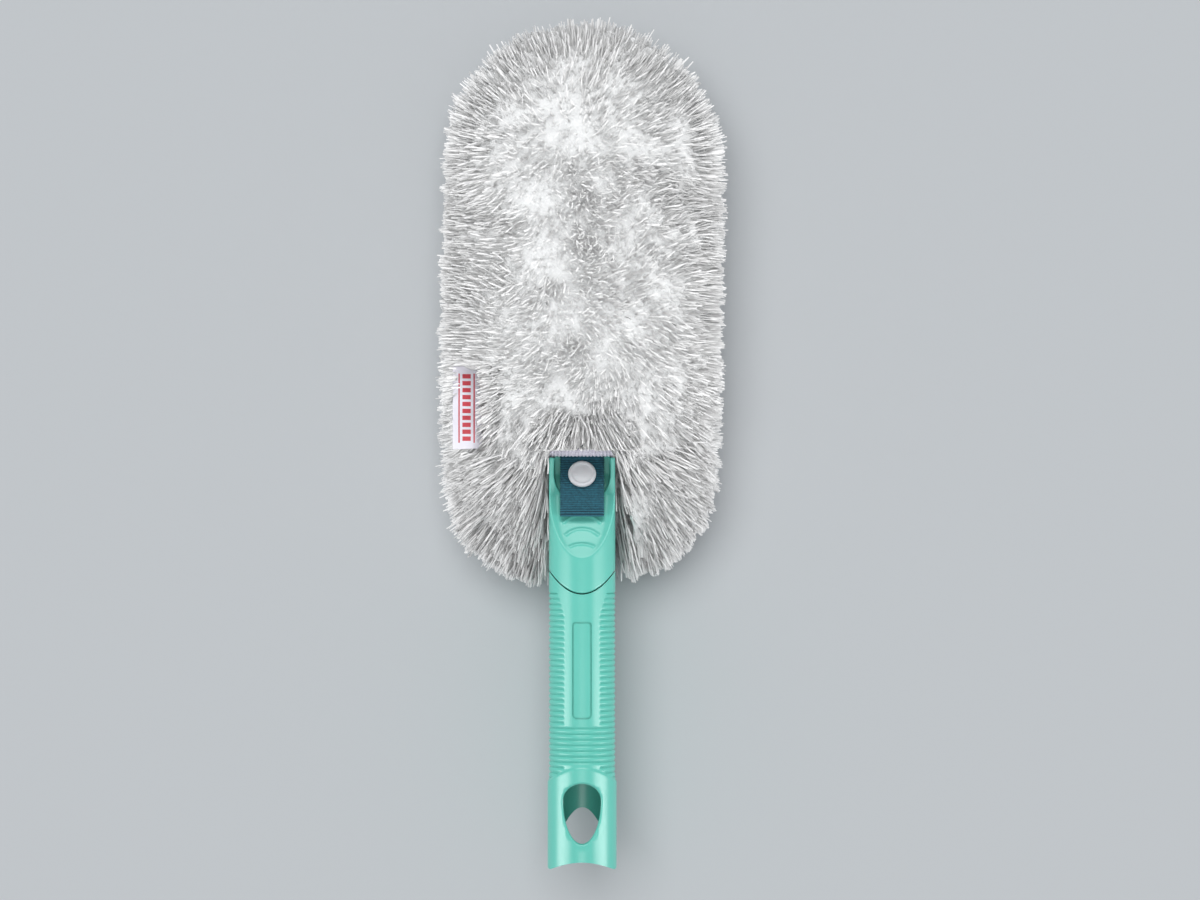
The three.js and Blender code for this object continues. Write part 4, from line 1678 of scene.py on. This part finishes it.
    def strands(self, rng: Rng, name: str, lines: Array) -> Piece:
        """Makes three-sided strands round their lines, with blunt cut ends.

        Args:
            rng: The seeded source.
            name: The piece's name.
            lines: The strands' points.

        Returns:
            The piece, in the handle's frame.
        """
        count, points = lines.shape[:2]
        along = unit(np.gradient(lines, axis=1))
        spare = rng.normal(size=(count, 1, 3))
        side = unit(np.cross(along, np.broadcast_to(spare, along.shape)))
        other = np.cross(along, side)
        taper = np.interp(np.linspace(0, 1, points), [0, 0.25, 0.8, 1], [0.75, 1.0, 0.95, 0.68])
        radius = self.width / 2 * rng.uniform(0.8, 1.2, (count, 1)) * taper[None]
        turn = np.arange(3) * 2 * math.pi / 3
        ring = (
            lines[:, :, None]
            + side[:, :, None] * (radius[..., None] * np.cos(turn))[..., None]
            + other[:, :, None] * (radius[..., None] * np.sin(turn))[..., None]
        )
        corners = ring.reshape(-1, 3)
        base = (np.arange(count) * points * 3)[:, None, None, None]
        row = (np.arange(points - 1) * 3)[None, :, None, None]
        column = np.arange(3)[None, None, :, None]
        following = (column + 1) % 3
        near, far = base + row, base + row + 3
        quads = np.concatenate(
            [near + column, near + following, far + following, far + column], axis=3
        ).reshape(-1, 4)
        start = (np.arange(count) * points * 3)[:, None]
        ends = np.concatenate([start + [[2, 1, 0]], start + (points - 1) * 3 + [[0, 1, 2]]])
        mesh = bpy.data.meshes.new(name)
        mesh.vertices.add(len(corners))
        mesh.vertices.foreach_set("co", corners.astype(np.float32).reshape(-1))
        mesh.loops.add(quads.size + ends.size)
        mesh.loops.foreach_set("vertex_index", np.concatenate([quads.reshape(-1), ends.reshape(-1)]))
        mesh.polygons.add(len(quads) + len(ends))
        starts = np.concatenate([np.arange(len(quads)) * 4, quads.size + np.arange(len(ends)) * 3])
        mesh.polygons.foreach_set("loop_start", starts)
        mesh.update(calc_edges=True)
        mesh.validate()
        mesh.polygons.foreach_set("use_smooth", np.ones(len(mesh.polygons), dtype=bool))
        # Light falls on the strands as on the soft pad that they make up, and a little on each alone.
        middle = np.zeros_like(corners)
        middle[:, 1] = np.clip(corners[:, 1], *self.pad_spine)
        middle[:, 2] = self.pad_z
        pad = unit((corners - middle) / np.array(self.pad_radii) ** 2)
        own = unit((ring - lines[:, :, None]).reshape(-1, 3))
        soft = unit(self.softness * pad + (1 - self.softness) * own)
        mesh.normals_split_custom_set_from_vertices(soft)
        shade = np.zeros((count, points, 3, 4), dtype=np.float32)
        # Each point's share along its strand, which the pile's material turns into painted shade at the
        # root.
        shade[..., 0] = np.linspace(0, 1, points)[None, :, None]
        # Soft patches of painted shade across the pile, mixed with a random tone for each strand.
        x, y = lines[:, 0, 0], lines[:, 0, 1]
        shade_patch = np.sin(x / 5.3 + 1.7 * np.sin(y / 9.0)) * np.sin(y / 6.7 + 1.3 * np.sin(x / 11.0))
        shade[..., 1] = (0.5 + 0.3 * shade_patch + rng.uniform(-0.2, 0.2, count))[:, None, None]
        shade[..., 3] = 1
        attribute = mesh.attributes.new("strand", "FLOAT_COLOR", "POINT")
        attribute.data.foreach_set("color", shade.reshape(-1))
        piece = bpy.data.objects.new(name, mesh)
        bpy.context.scene.collection.objects.link(piece)
        return piece

    def strap_slope(self, y: Array) -> Array:
        """Gives the height of the slope that the strap sweeps, with room to spare."""
        return self.sweep_base + (y - self.sweep_start - self.sweep_room) / math.tan(self.sweep)

    def fluff_limit(self, x: Array, y: Array, limit: Array) -> Array:
        """Keeps the fluff under the label and out of the strap's way.

        Args:
            x: Distances across.
            y: Distances along the handle.
            limit: The heights that the strands allow.

        Returns:
            The heights that everything allows.
        """
        cover = self.cover
        across, along = cover.label_shares(x, y)
        over = (across > -0.03) & (across < 1.06) & (along > -0.03) & (along < 1.0)
        label = cover.label_height(np.clip(across, 0, 1), np.clip(along, 0, 1)) - 2.2
        limit = np.where(over, np.minimum(limit, label), limit)
        strap = np.maximum(self.strap_slope(y), self.strap_low)
        return np.where((np.abs(x) < 14) & (y < 215), np.minimum(limit, strap), limit)

    def settle(self, fluff: Piece, lines: Array, upward: float) -> None:
        """Sets the fluff just under the strands, where it faces them.

        Args:
            fluff: The soft closed form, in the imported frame.
            lines: The strands' points, in the handle's frame.
            upward: 1 where the strands stand up, -1 where they hang down.
        """
        points = lines[:, 3:].reshape(-1, 3)
        columns, rows = (int(size / self.grid_cell) for size in self.grid_size)

        def cells(x: Array, y: Array) -> tuple[Array, Array]:
            """Gives the column and the row of each point.

            Args:
                x: Distances across.
                y: Distances along the handle.

            Returns:
                Columns and rows.
            """
            column = ((x - self.grid_low[0]) / self.grid_cell).astype(int)
            row = ((y - self.grid_low[1]) / self.grid_cell).astype(int)
            return np.clip(column, 0, columns - 1), np.clip(row, 0, rows - 1)

        column, row = cells(points[:, 0], points[:, 1])
        order = np.lexsort((points[:, 2] * upward, row * columns + column))
        place = (row * columns + column)[order]
        height = (points[:, 2] * upward)[order]
        counts = np.bincount(place, minlength=rows * columns)
        starts = np.concatenate([[0], np.cumsum(counts)[:-1]])
        pick = np.minimum(starts + (counts * self.cover_share).astype(int), len(height) - 1)
        known = (counts > self.cover_least).reshape(rows, columns).astype(float)
        grid = height[pick].reshape(rows, columns) * known

        def around(values: Array) -> Array:
            """Adds up each cell and its eight neighbours."""
            edged = np.pad(values, 1)
            return sum(edged[i : i + rows, j : j + columns] for i in range(3) for j in range(3))

        for _ in range(2):
            grid, known = around(grid), around(known)
        grid = np.where(known > 0, grid / np.maximum(known, 1e-6), self.pad_z * upward)
        mesh = fluff.data
        corners = np.zeros(len(mesh.vertices) * 3, dtype=np.float32)
        mesh.vertices.foreach_get("co", corners)
        corners = corners.reshape(-1, 3)
        x, y = corners[:, 0] * 1000, corners[:, 1] * 1000 + HANDLE_MIDDLE_MM
        column, row = cells(x, y)
        limit = upward * (grid[row, column] - self.cover_depth)
        if upward > 0:
            limit = self.fluff_limit(x, y, limit)
        limit = (limit + AXIS_HEIGHT_MM) / 1000
        normals = np.zeros(len(mesh.vertices) * 3, dtype=np.float32)
        mesh.vertex_normals.foreach_get("vector", normals)
        facing = np.clip(upward * normals.reshape(-1, 3)[:, 2] / self.cover_slope, 0, 1)
        lifted = corners[:, 2] + (limit - corners[:, 2]) * facing
        corners[:, 2] = upward * np.minimum(upward * lifted, upward * limit)
        mesh.vertices.foreach_set("co", corners.reshape(-1))
        mesh.update()
        Bench.modify(fluff, "SMOOTH", factor=0.5, iterations=8)

    def undercoat(self, node: Piece, name: str, inset: float) -> Piece:
        """Models the dense short fluff between the strands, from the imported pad's own form.

        Args:
            node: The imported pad.
            name: The piece's name.
            inset: How far it lies inside the pad.

        Returns:
            The soft closed form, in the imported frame.
        """
        fluff = bpy.data.objects.new(name, node.data.copy())
        bpy.context.scene.collection.objects.link(fluff)
        Bench.edit(fluff, (bpy.ops.mesh.remove_doubles, {"threshold": 1e-6}))
        Bench.modify(fluff, "REMESH", mode="VOXEL", voxel_size=self.fluff_voxel / 1000, adaptivity=0)
        Bench.modify(fluff, "SMOOTH", factor=0.5, iterations=14)
        Bench.modify(fluff, "DISPLACE", strength=-inset / 1000, mid_level=0, direction="NORMAL")
        Bench.modify(fluff, "SMOOTH", factor=0.5, iterations=10)
        Bench.take(fluff)
        bpy.ops.object.shade_smooth()
        return fluff

    def behind_strap(self, roots: Array, heading: Array, half: float) -> Array:
        """Turns strands above the binding back, so that the strap can swing up in front of them.

        Args:
            roots: Where the strands start, across and along.
            heading: Their directions.
            half: How far from the middle line they are held back.

        Returns:
            Their new directions.
        """
        most = np.radians(np.interp(roots[:, 1], [194, 205, 215, 232], [-24, 0, 30, 62]))
        forward = np.arctan2(-heading[:, 1], heading[:, 2])
        reach = np.hypot(heading[:, 1], heading[:, 2])
        beside = np.clip((np.abs(roots[:, 0]) - half) / 4, 0, 1)
        turned = np.minimum(forward, most) * (1 - beside) + forward * beside
        return np.column_stack([heading[:, 0], -reach * np.sin(turned), reach * np.cos(turned)])

    def tousle(self, roots: Array) -> Array:
        """Gives the way that the pile is brushed: a slow swirl, with its own turn in each tuft.

        Args:
            roots: Where the strands start, across and along.

        Returns:
            Directions across and along.
        """
        layout = np.random.default_rng(self.seed + 1)
        tufts = layout.uniform([-45, 188], [45, 368], (self.tuft_count, 2))
        turns = layout.normal(0, self.tuft_turn, self.tuft_count)
        own = np.argmin(((roots[:, None] - tufts[None]) ** 2).sum(axis=2), axis=1)
        x, y = roots.T
        swirl = 1.5 * np.sin(x / 17 + 0.6) + 1.3 * np.sin(y / 21 + x / 40) - 0.9 * np.sin((x - y) / 13)
        return compass(-math.pi / 2 + swirl + turns[own])

    def front(self, rng: Rng, count: int) -> Array:
        """Lays out the front pile: a tousled dome that turns to straight rays at its edge.

        Args:
            rng: The seeded source.
            count: The number of strands.

        Returns:
            The strands' points.
        """
        roots = self.sow(rng, count, self.cover.front_low + 1.5, 2.0)
        x, y = roots.T
        low, high = self.front_spine
        spine = np.clip(y, low, high)
        away = np.stack([x, y - spine], axis=1)
        far = np.hypot(*away.T)
        out = away / np.maximum(far, 1e-6)[:, None]
        edge = np.where(y > high, 48.0, np.where(y < low, 42.0, 41.0))
        share = np.clip(far / edge, 0, 1)
        brushed = self.tousle(roots)
        lean = out * (1.4 * share)[:, None] + brushed * (1.1 - share)[:, None]
        lean += rng.normal(0, 0.6, (count, 2)) * (1.15 - share)[:, None]
        parted = np.clip((226 - y) / 18, 0, 1) * np.clip((30 - np.abs(x)) / 10, 0, 1)
        hand = np.sign(x + rng.normal(0, 2.0, count))
        stray = rng.normal(0, 0.2, (count, 2))
        bow = np.radians(np.interp(np.abs(x), [0, 6, 12, 17, 30], [10, -25, -45, -68, -55]))
        drop = np.radians(np.interp(np.abs(x), [0, 6, 12, 17, 30], [-50, -66, -74, -78, -60]))
        aside = compass(bow, hand) + stray
        hung = compass(drop, hand) + stray
        fall = unit(lean * (1 - parted)[:, None] + hung * parted[:, None])
        lean = unit(lean * (1 - parted)[:, None] + aside * parted[:, None])
        low = 4 + 70 * share**1.2 + 16 * parted + rng.normal(0, 7, count)
        high = 52 + 32 * share + rng.normal(0, 1, count) * (20 - 15 * share)
        first = self.behind_strap(roots, tilted(lean, low), 8.0)
        last = self.behind_strap(roots, tilted(fall, high), 5.0)
        short = rng.uniform(0, 1, count) < 0.25
        cut, whole = rng.uniform(0.6, 0.85, count), rng.uniform(0.88, 1.1, count)
        lengths = self.strand * np.where(short, cut, whole)
        lines = self.curve(np.column_stack([roots, np.full(count, self.front_z)]), first, last, lengths)
        lines = self.gather(rng, lines, 6.0, (0.75 - 0.2 * share) * rng.uniform(0.3, 1.15, count))
        return self.keep_clear(rng, lines, 2.2)

    def fringe(self, rng: Rng, count: int) -> Array:
        """Lays out the strands that fall to the binding in the strap's way, parted in the middle.

        Args:
            rng: The seeded source.
            count: The number of strands.

        Returns:
            The strands' points.
        """
        x = rng.uniform(-14, 14, count)
        y = 195.4 + 19 * rng.uniform(0, 1, count) ** 1.3
        hand = np.sign(x + rng.normal(0, 1.2, count))
        drop = np.radians(np.interp(np.abs(x), [0, 5, 12], [-74, -62, -58]))
        drop += rng.normal(0, 0.14, count)
        out = compass(drop, hand)
        first = tilted(out, rng.normal(18, 8, count))
        last = tilted(out, rng.normal(102, 7, count))
        reach = (y - rng.uniform(191.2, 194.0, count)) / np.abs(np.sin(drop))
        lengths = np.maximum(reach, 2.5) / 0.78
        lines = self.curve(np.column_stack([x, y, np.full(count, self.front_z)]), first, last, lengths)
        lines = self.gather(rng, lines, 4.0, rng.uniform(0.2, 0.8, count))
        lines = np.concatenate([lines, self.overhang(rng, count // 2)])
        lines[..., 1] = np.maximum(lines[..., 1], 191.8)
        lines[..., 2] = np.maximum(lines[..., 2], np.where(lines[..., 1] < 194.4, -2.4, self.front_z))
        return lines

    def overhang(self, rng: Rng, count: int) -> Array:
        """Lays out the strands that fall from the pile's brow, over the slope that the strap sweeps.

        Args:
            rng: The seeded source.
            count: The number of strands.

        Returns:
            The strands' points.
        """
        x = rng.uniform(-15, 15, count)
        y = rng.uniform(202.5, 211, count)
        z = np.minimum(self.strap_slope(y), 13.0) - rng.uniform(0.5, 3.0, count)
        hand = np.sign(x + rng.normal(0, 2.0, count))
        drop = np.radians(np.interp(np.abs(x), [0, 5, 12], [-80, -66, -58]))
        drop += rng.normal(0, 0.22, count)
        out = compass(drop, hand)
        first = tilted(out, rng.normal(48, 14, count))
        last = tilted(out, rng.normal(146, 12, count))
        lines = self.curve(np.column_stack([x, y, z]), first, last, rng.uniform(13, 21, count))
        return self.gather(rng, lines, 4.0, rng.uniform(0.2, 0.8, count))

    def rim(self, rng: Rng, count: int, droop: float) -> Array:
        """Lays out the strands along the cover's edge, straight out to the head's outline.

        Args:
            rng: The seeded source.
            count: The number of strands.
            droop: How far the strands hang down.

        Returns:
            The strands' points.
        """
        high = self.cover.edge(self.cover.front_low, 3.0, 2.0, 600)
        high = high[high[:, 1] > 205]
        low = self.cover.edge(self.cover.bottom, self.cover.back_corner, 2.0, 600)
        low = low[(low[:, 1] < 207) & (np.abs(low[:, 0]) > 17)]
        line = np.concatenate([high, low])
        pick = rng.integers(0, len(line), count)
        roots = line[pick] + rng.normal(0, 1.2, (count, 2))
        spine = np.clip(roots[:, 1] + 4, *self.rim_spine)
        out = np.stack([roots[:, 0], roots[:, 1] - spine], axis=1)
        out /= np.linalg.norm(out, axis=1, keepdims=True)
        out += rng.normal(0, 0.13, (count, 2))
        place = rng.uniform(0, 1, count)
        flap = self.cover.back_height(roots[:, 1]) - 1.0 + 2.5 * place
        height = np.where(pick < len(high), -13.0 + 8.1 * place, flap)
        rise = -0.45 - droop + place + rng.normal(0, 0.12, count)
        first = np.column_stack([out, rise])
        last = np.column_stack([out + rng.normal(0, 0.07, (count, 2)), rise * 0.6 - 0.1])
        lengths = rng.uniform(24, 30, count)
        lines = self.curve(np.column_stack([roots, height]), first, last, lengths)
        lines = self.gather(rng, lines, 4.6, rng.uniform(0.45, 0.95, count))
        return self.keep_clear(rng, lines, 2.6)

    def back(self, rng: Rng, count: int) -> Array:
        """Lays out the back pile, which the duster's weight presses on the floor and splays out.

        Args:
            rng: The seeded source.
            count: The number of strands.

        Returns:
            The strands' points.
        """
        roots = self.sow(rng, count, self.cover.bottom + 1, self.cover.back_corner)
        x, y = roots.T
        spine = np.clip(y, *self.back_spine)
        out = np.stack([x, y - spine], axis=1)
        far = np.hypot(*out.T)
        out /= np.maximum(far, 1e-6)[:, None]
        share = np.clip(far / 42, 0, 1)
        brushed = self.tousle(roots)
        lean = out * (0.2 + 1.3 * share)[:, None] + brushed * (0.9 * (1 - share))[:, None]
        lean += rng.normal(0, 0.45, (count, 2)) * (1.1 - 0.8 * share)[:, None]
        lean = unit(lean)
        down = np.array([1.0, 1.0, -1.0])
        first = tilted(lean, 4 + 44 * share**1.5 + rng.normal(0, 7, count)) * down
        last = tilted(lean, 46 + 30 * share + rng.normal(0, 11, count)) * down
        height = self.cover.back_height(y) - 0.7
        lengths = self.strand * rng.uniform(0.92, 1.14, count)
        lines = self.curve(np.column_stack([roots, height]), first, last, lengths)
        lines = self.gather(rng, lines, 7.0, rng.uniform(0.2, 0.7, count))
        return self.keep_clear(rng, lines, 2.6)

    def flap(self, rng: Rng, count: int, hand: Hand) -> Array:
        """Lays out the pile beside the neck, which hangs down and outwards from the cover's mouth.

        Args:
            rng: The seeded source.
            count: The number of strands.
            hand: The side of the neck.

        Returns:
            The strands' points.
        """
        x = hand.value * rng.uniform(16.2, 40.5, count)
        y = rng.uniform(153, 196, count)
        corner = self.cover.back_corner
        dx = np.maximum(np.abs(x) - (self.cover.half - corner), 0)
        inside = np.hypot(dx, np.minimum(y - (self.cover.bottom + corner), 0)) < corner
        bare = 0.85 * np.clip((30 - x) / 10, 0, 1) * np.clip((188 - y) / 8, 0, 1)
        kept = inside & ((rng.uniform(0, 1, count) > bare) | (hand is Hand.LEFT))
        x, y = x[kept], y[kept]
        count = len(x)
        out = np.stack([0.9 * hand.value * (np.abs(x) - 12) / 28, (y - 205) / 42], axis=1)
        out /= np.linalg.norm(out, axis=1, keepdims=True)
        out += rng.normal(0, 0.2, (count, 2))
        share = np.clip((np.abs(x) - 17) / 24 * 0.6 + (190 - y) / 38 * 0.6, 0, 1)
        first = tilted(out, 34 + 38 * share + rng.normal(0, 9, count))
        last = np.column_stack([out * 1.1, 0.3 - 0.3 * share + rng.normal(0, 0.14, count)])
        height = self.cover.back_height(y) + 0.7
        lengths = self.strand * rng.uniform(0.9, 1.15, count)
        lines = self.curve(np.column_stack([x, y, height]), first, last, lengths)
        lines = self.gather(rng, lines, 6.5, rng.uniform(0.1, 0.5, count))
        return self.keep_clear(rng, lines, 2.4)

    def build(self, finishes: Finishes, nodes: dict[str, Piece]) -> None:
        """Grows and dresses every part of the pile.

        Args:
            finishes: The duster's finishes.
            nodes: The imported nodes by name.
        """
        rng = np.random.default_rng(self.seed)
        grown = {
            "pile_front": [
                *(self.front(rng, self.front_count) for _ in range(self.front_batches)),
                *(self.rim(rng, self.rim_count, droop) for droop in self.rim_droops),
            ],
            "pile_back": [self.back(rng, self.back_count) for _ in range(self.back_batches)],
            "pile_flap_left": [self.flap(rng, self.flap_count, Hand.LEFT)],
            "pile_flap_right": [self.flap(rng, self.flap_count, Hand.RIGHT)],
        }
        for node, batches in grown.items():
            hangs = node == "pile_back"
            inset = self.back_inset if hangs else self.fluff_inset
            fluff = self.undercoat(nodes[node], node.replace("pile", "fluff"), inset)
            self.settle(fluff, np.concatenate(batches), -1.0 if hangs else 1.0)
            if hangs:
                centre = Matrix.Translation((0, self.back_middle, 0))
                shrink = Matrix.Diagonal((*self.back_shrink, 1, 1))
                Bench.turn(fluff, centre @ shrink @ centre.inverted())
            dress(fluff, finishes.fluff, Body.HEAD, [node])
            for index, lines in enumerate(batches):
                piece = Bench.place(self.strands(rng, f"{node}_strands_{index + 1}", lines))
                dress(piece, finishes.pile, Body.HEAD, [node])
        lines = self.fringe(rng, self.fringe_count)
        fringe = Bench.place(self.strands(rng, "pile_front_fringe", lines))
        dress(fringe, finishes.pile, Body.HEAD, ["pile_front"])
        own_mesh(fringe)


@dataclass(frozen=True)
class Softbox:
    """One rectangular softbox that faces the duster, in metres and watts."""

    name: str
    place: tuple[float, float, float]
    size: tuple[float, float]
    watts: float
    spread: float = math.radians(100)
    aim: tuple[float, float, float] = (0.0, 0.0, 0.04)

    def hang(self, lit: bpy.types.Collection) -> None:
        """Hangs the softbox.

        Args:
            lit: The pieces that it lights.
        """
        data = bpy.data.lights.new(self.name, "AREA")
        data.shape = "RECTANGLE"
        data.size, data.size_y = self.size
        data.energy = self.watts
        data.spread = self.spread
        light = bpy.data.objects.new(self.name, data)
        light.location = self.place
        light.visible_camera = False
        light.light_linking.receiver_collection = lit
        away = Vector(self.place) - Vector(self.aim)
        light.rotation_euler = away.to_track_quat("Z", "Y").to_euler()
        bpy.context.scene.collection.objects.link(light)


@dataclass
class Studio:
    """The floor, the lights and the overhead camera."""

    view_width: float = 0.548
    aim: tuple[float, float] = (0.0082, -0.0036)
    object_height: float = 0.045
    distance: float = 1.6
    sensor: float = 36.0
    floor_size: float = 40.0
    sun_strength: float = 1.5
    sun_angle: float = math.radians(50)
    sun_turn: tuple[float, float, float] = (math.radians(-14), math.radians(-8), 0.0)
    sky: tuple[float, float, float, float] = (0.95, 0.97, 1.0, 1.0)
    sky_strength: float = 0.4
    bounces: int = 16
    diffuse_bounces: int = 12
    softboxes: tuple[Softbox, ...] = (
        Softbox("head_softbox", (0.0, 1.25, 0.95), (1.2, 0.7), 5.2),
        Softbox("grip_softbox", (0.0, -0.5, 1.5), (0.6, 0.4), 1.5),
        Softbox("left_strip", (-1.05, -0.3, 0.52), (0.14, 1.1), 3.3),
        Softbox("right_strip", (1.05, -0.3, 0.52), (0.14, 1.1), 3.3),
    )

    def floor(self, finishes: Finishes) -> tuple[bpy.types.Collection, bpy.types.Collection]:
        """Lays the paper floor.

        Args:
            finishes: The duster's finishes.

        Returns:
            What a light reaches that is for the floor alone, and for all but the floor.
        """
        Bench.clear()
        bpy.ops.mesh.primitive_plane_add(size=self.floor_size)
        floor = bpy.context.object
        floor.name = "paper_floor"
        floor.data.materials.append(finishes.paper)
        alone = bpy.data.collections.new("lit_floor_alone")
        others = bpy.data.collections.new("lit_all_but_floor")
        for group, state in ((alone, "INCLUDE"), (others, "EXCLUDE")):
            group.objects.link(floor)
            group.collection_objects[0].light_linking.link_state = state
        return alone, others

    def camera(self) -> None:
        """Sets the camera straight above the duster, as in the photograph."""
        data = bpy.data.cameras.new("overhead_camera")
        data.sensor_width = self.sensor
        data.lens = self.sensor * (self.distance - self.object_height) / self.view_width
        camera = bpy.data.objects.new("overhead_camera", data)
        camera.location = (*self.aim, self.distance)
        bpy.context.scene.collection.objects.link(camera)
        bpy.context.scene.camera = camera

    def sun(self, lit: bpy.types.Collection) -> None:
        """Lights the floor evenly, with a soft shadow under the duster.

        Args:
            lit: The pieces that it lights.
        """
        data = bpy.data.lights.new("floor_light", "SUN")
        data.energy = self.sun_strength
        data.angle = self.sun_angle
        light = bpy.data.objects.new("floor_light", data)
        light.rotation_euler = self.sun_turn
        light.light_linking.receiver_collection = lit
        bpy.context.scene.collection.objects.link(light)

    def build(self, finishes: Finishes) -> None:
        """Sets up the whole studio.

        Args:
            finishes: The duster's finishes.
        """
        alone, others = self.floor(finishes)
        self.camera()
        self.sun(alone)
        for softbox in self.softboxes:
            softbox.hang(others)
        scene = bpy.context.scene
        world = bpy.data.worlds.new("studio")
        world.use_nodes = True
        background = world.node_tree.nodes["Background"]
        background.inputs["Color"].default_value = self.sky
        background.inputs["Strength"].default_value = self.sky_strength
        scene.world = world
        scene.view_settings.view_transform = "Standard"
        scene.cycles.max_bounces = self.bounces
        scene.cycles.diffuse_bounces = self.diffuse_bounces


def main() -> None:
    """Builds the duster's pieces in order."""
    logging.basicConfig(level=logging.INFO, format="%(name)s: %(message)s")
    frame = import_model()
    Bench.clear()
    finishes = Finishes()
    Studio().build(finishes)
    Grip().build(finishes)
    Neck().build(finishes)
    Cover().build(finishes)
    ClosingStrap().build(finishes)
    Pile().build(finishes, frame["nodes"])
    for node, material in (
        ("paddle_frame", finishes.frame),
        ("snap_stud", finishes.snap),
        ("snap_socket", finishes.snap),
    ):
        frame["nodes"][node].data.materials.clear()
        frame["nodes"][node].data.materials.append(material)
        LOG.info("%s keeps its packed shape", node)


if __name__ == "__main__":
    main()
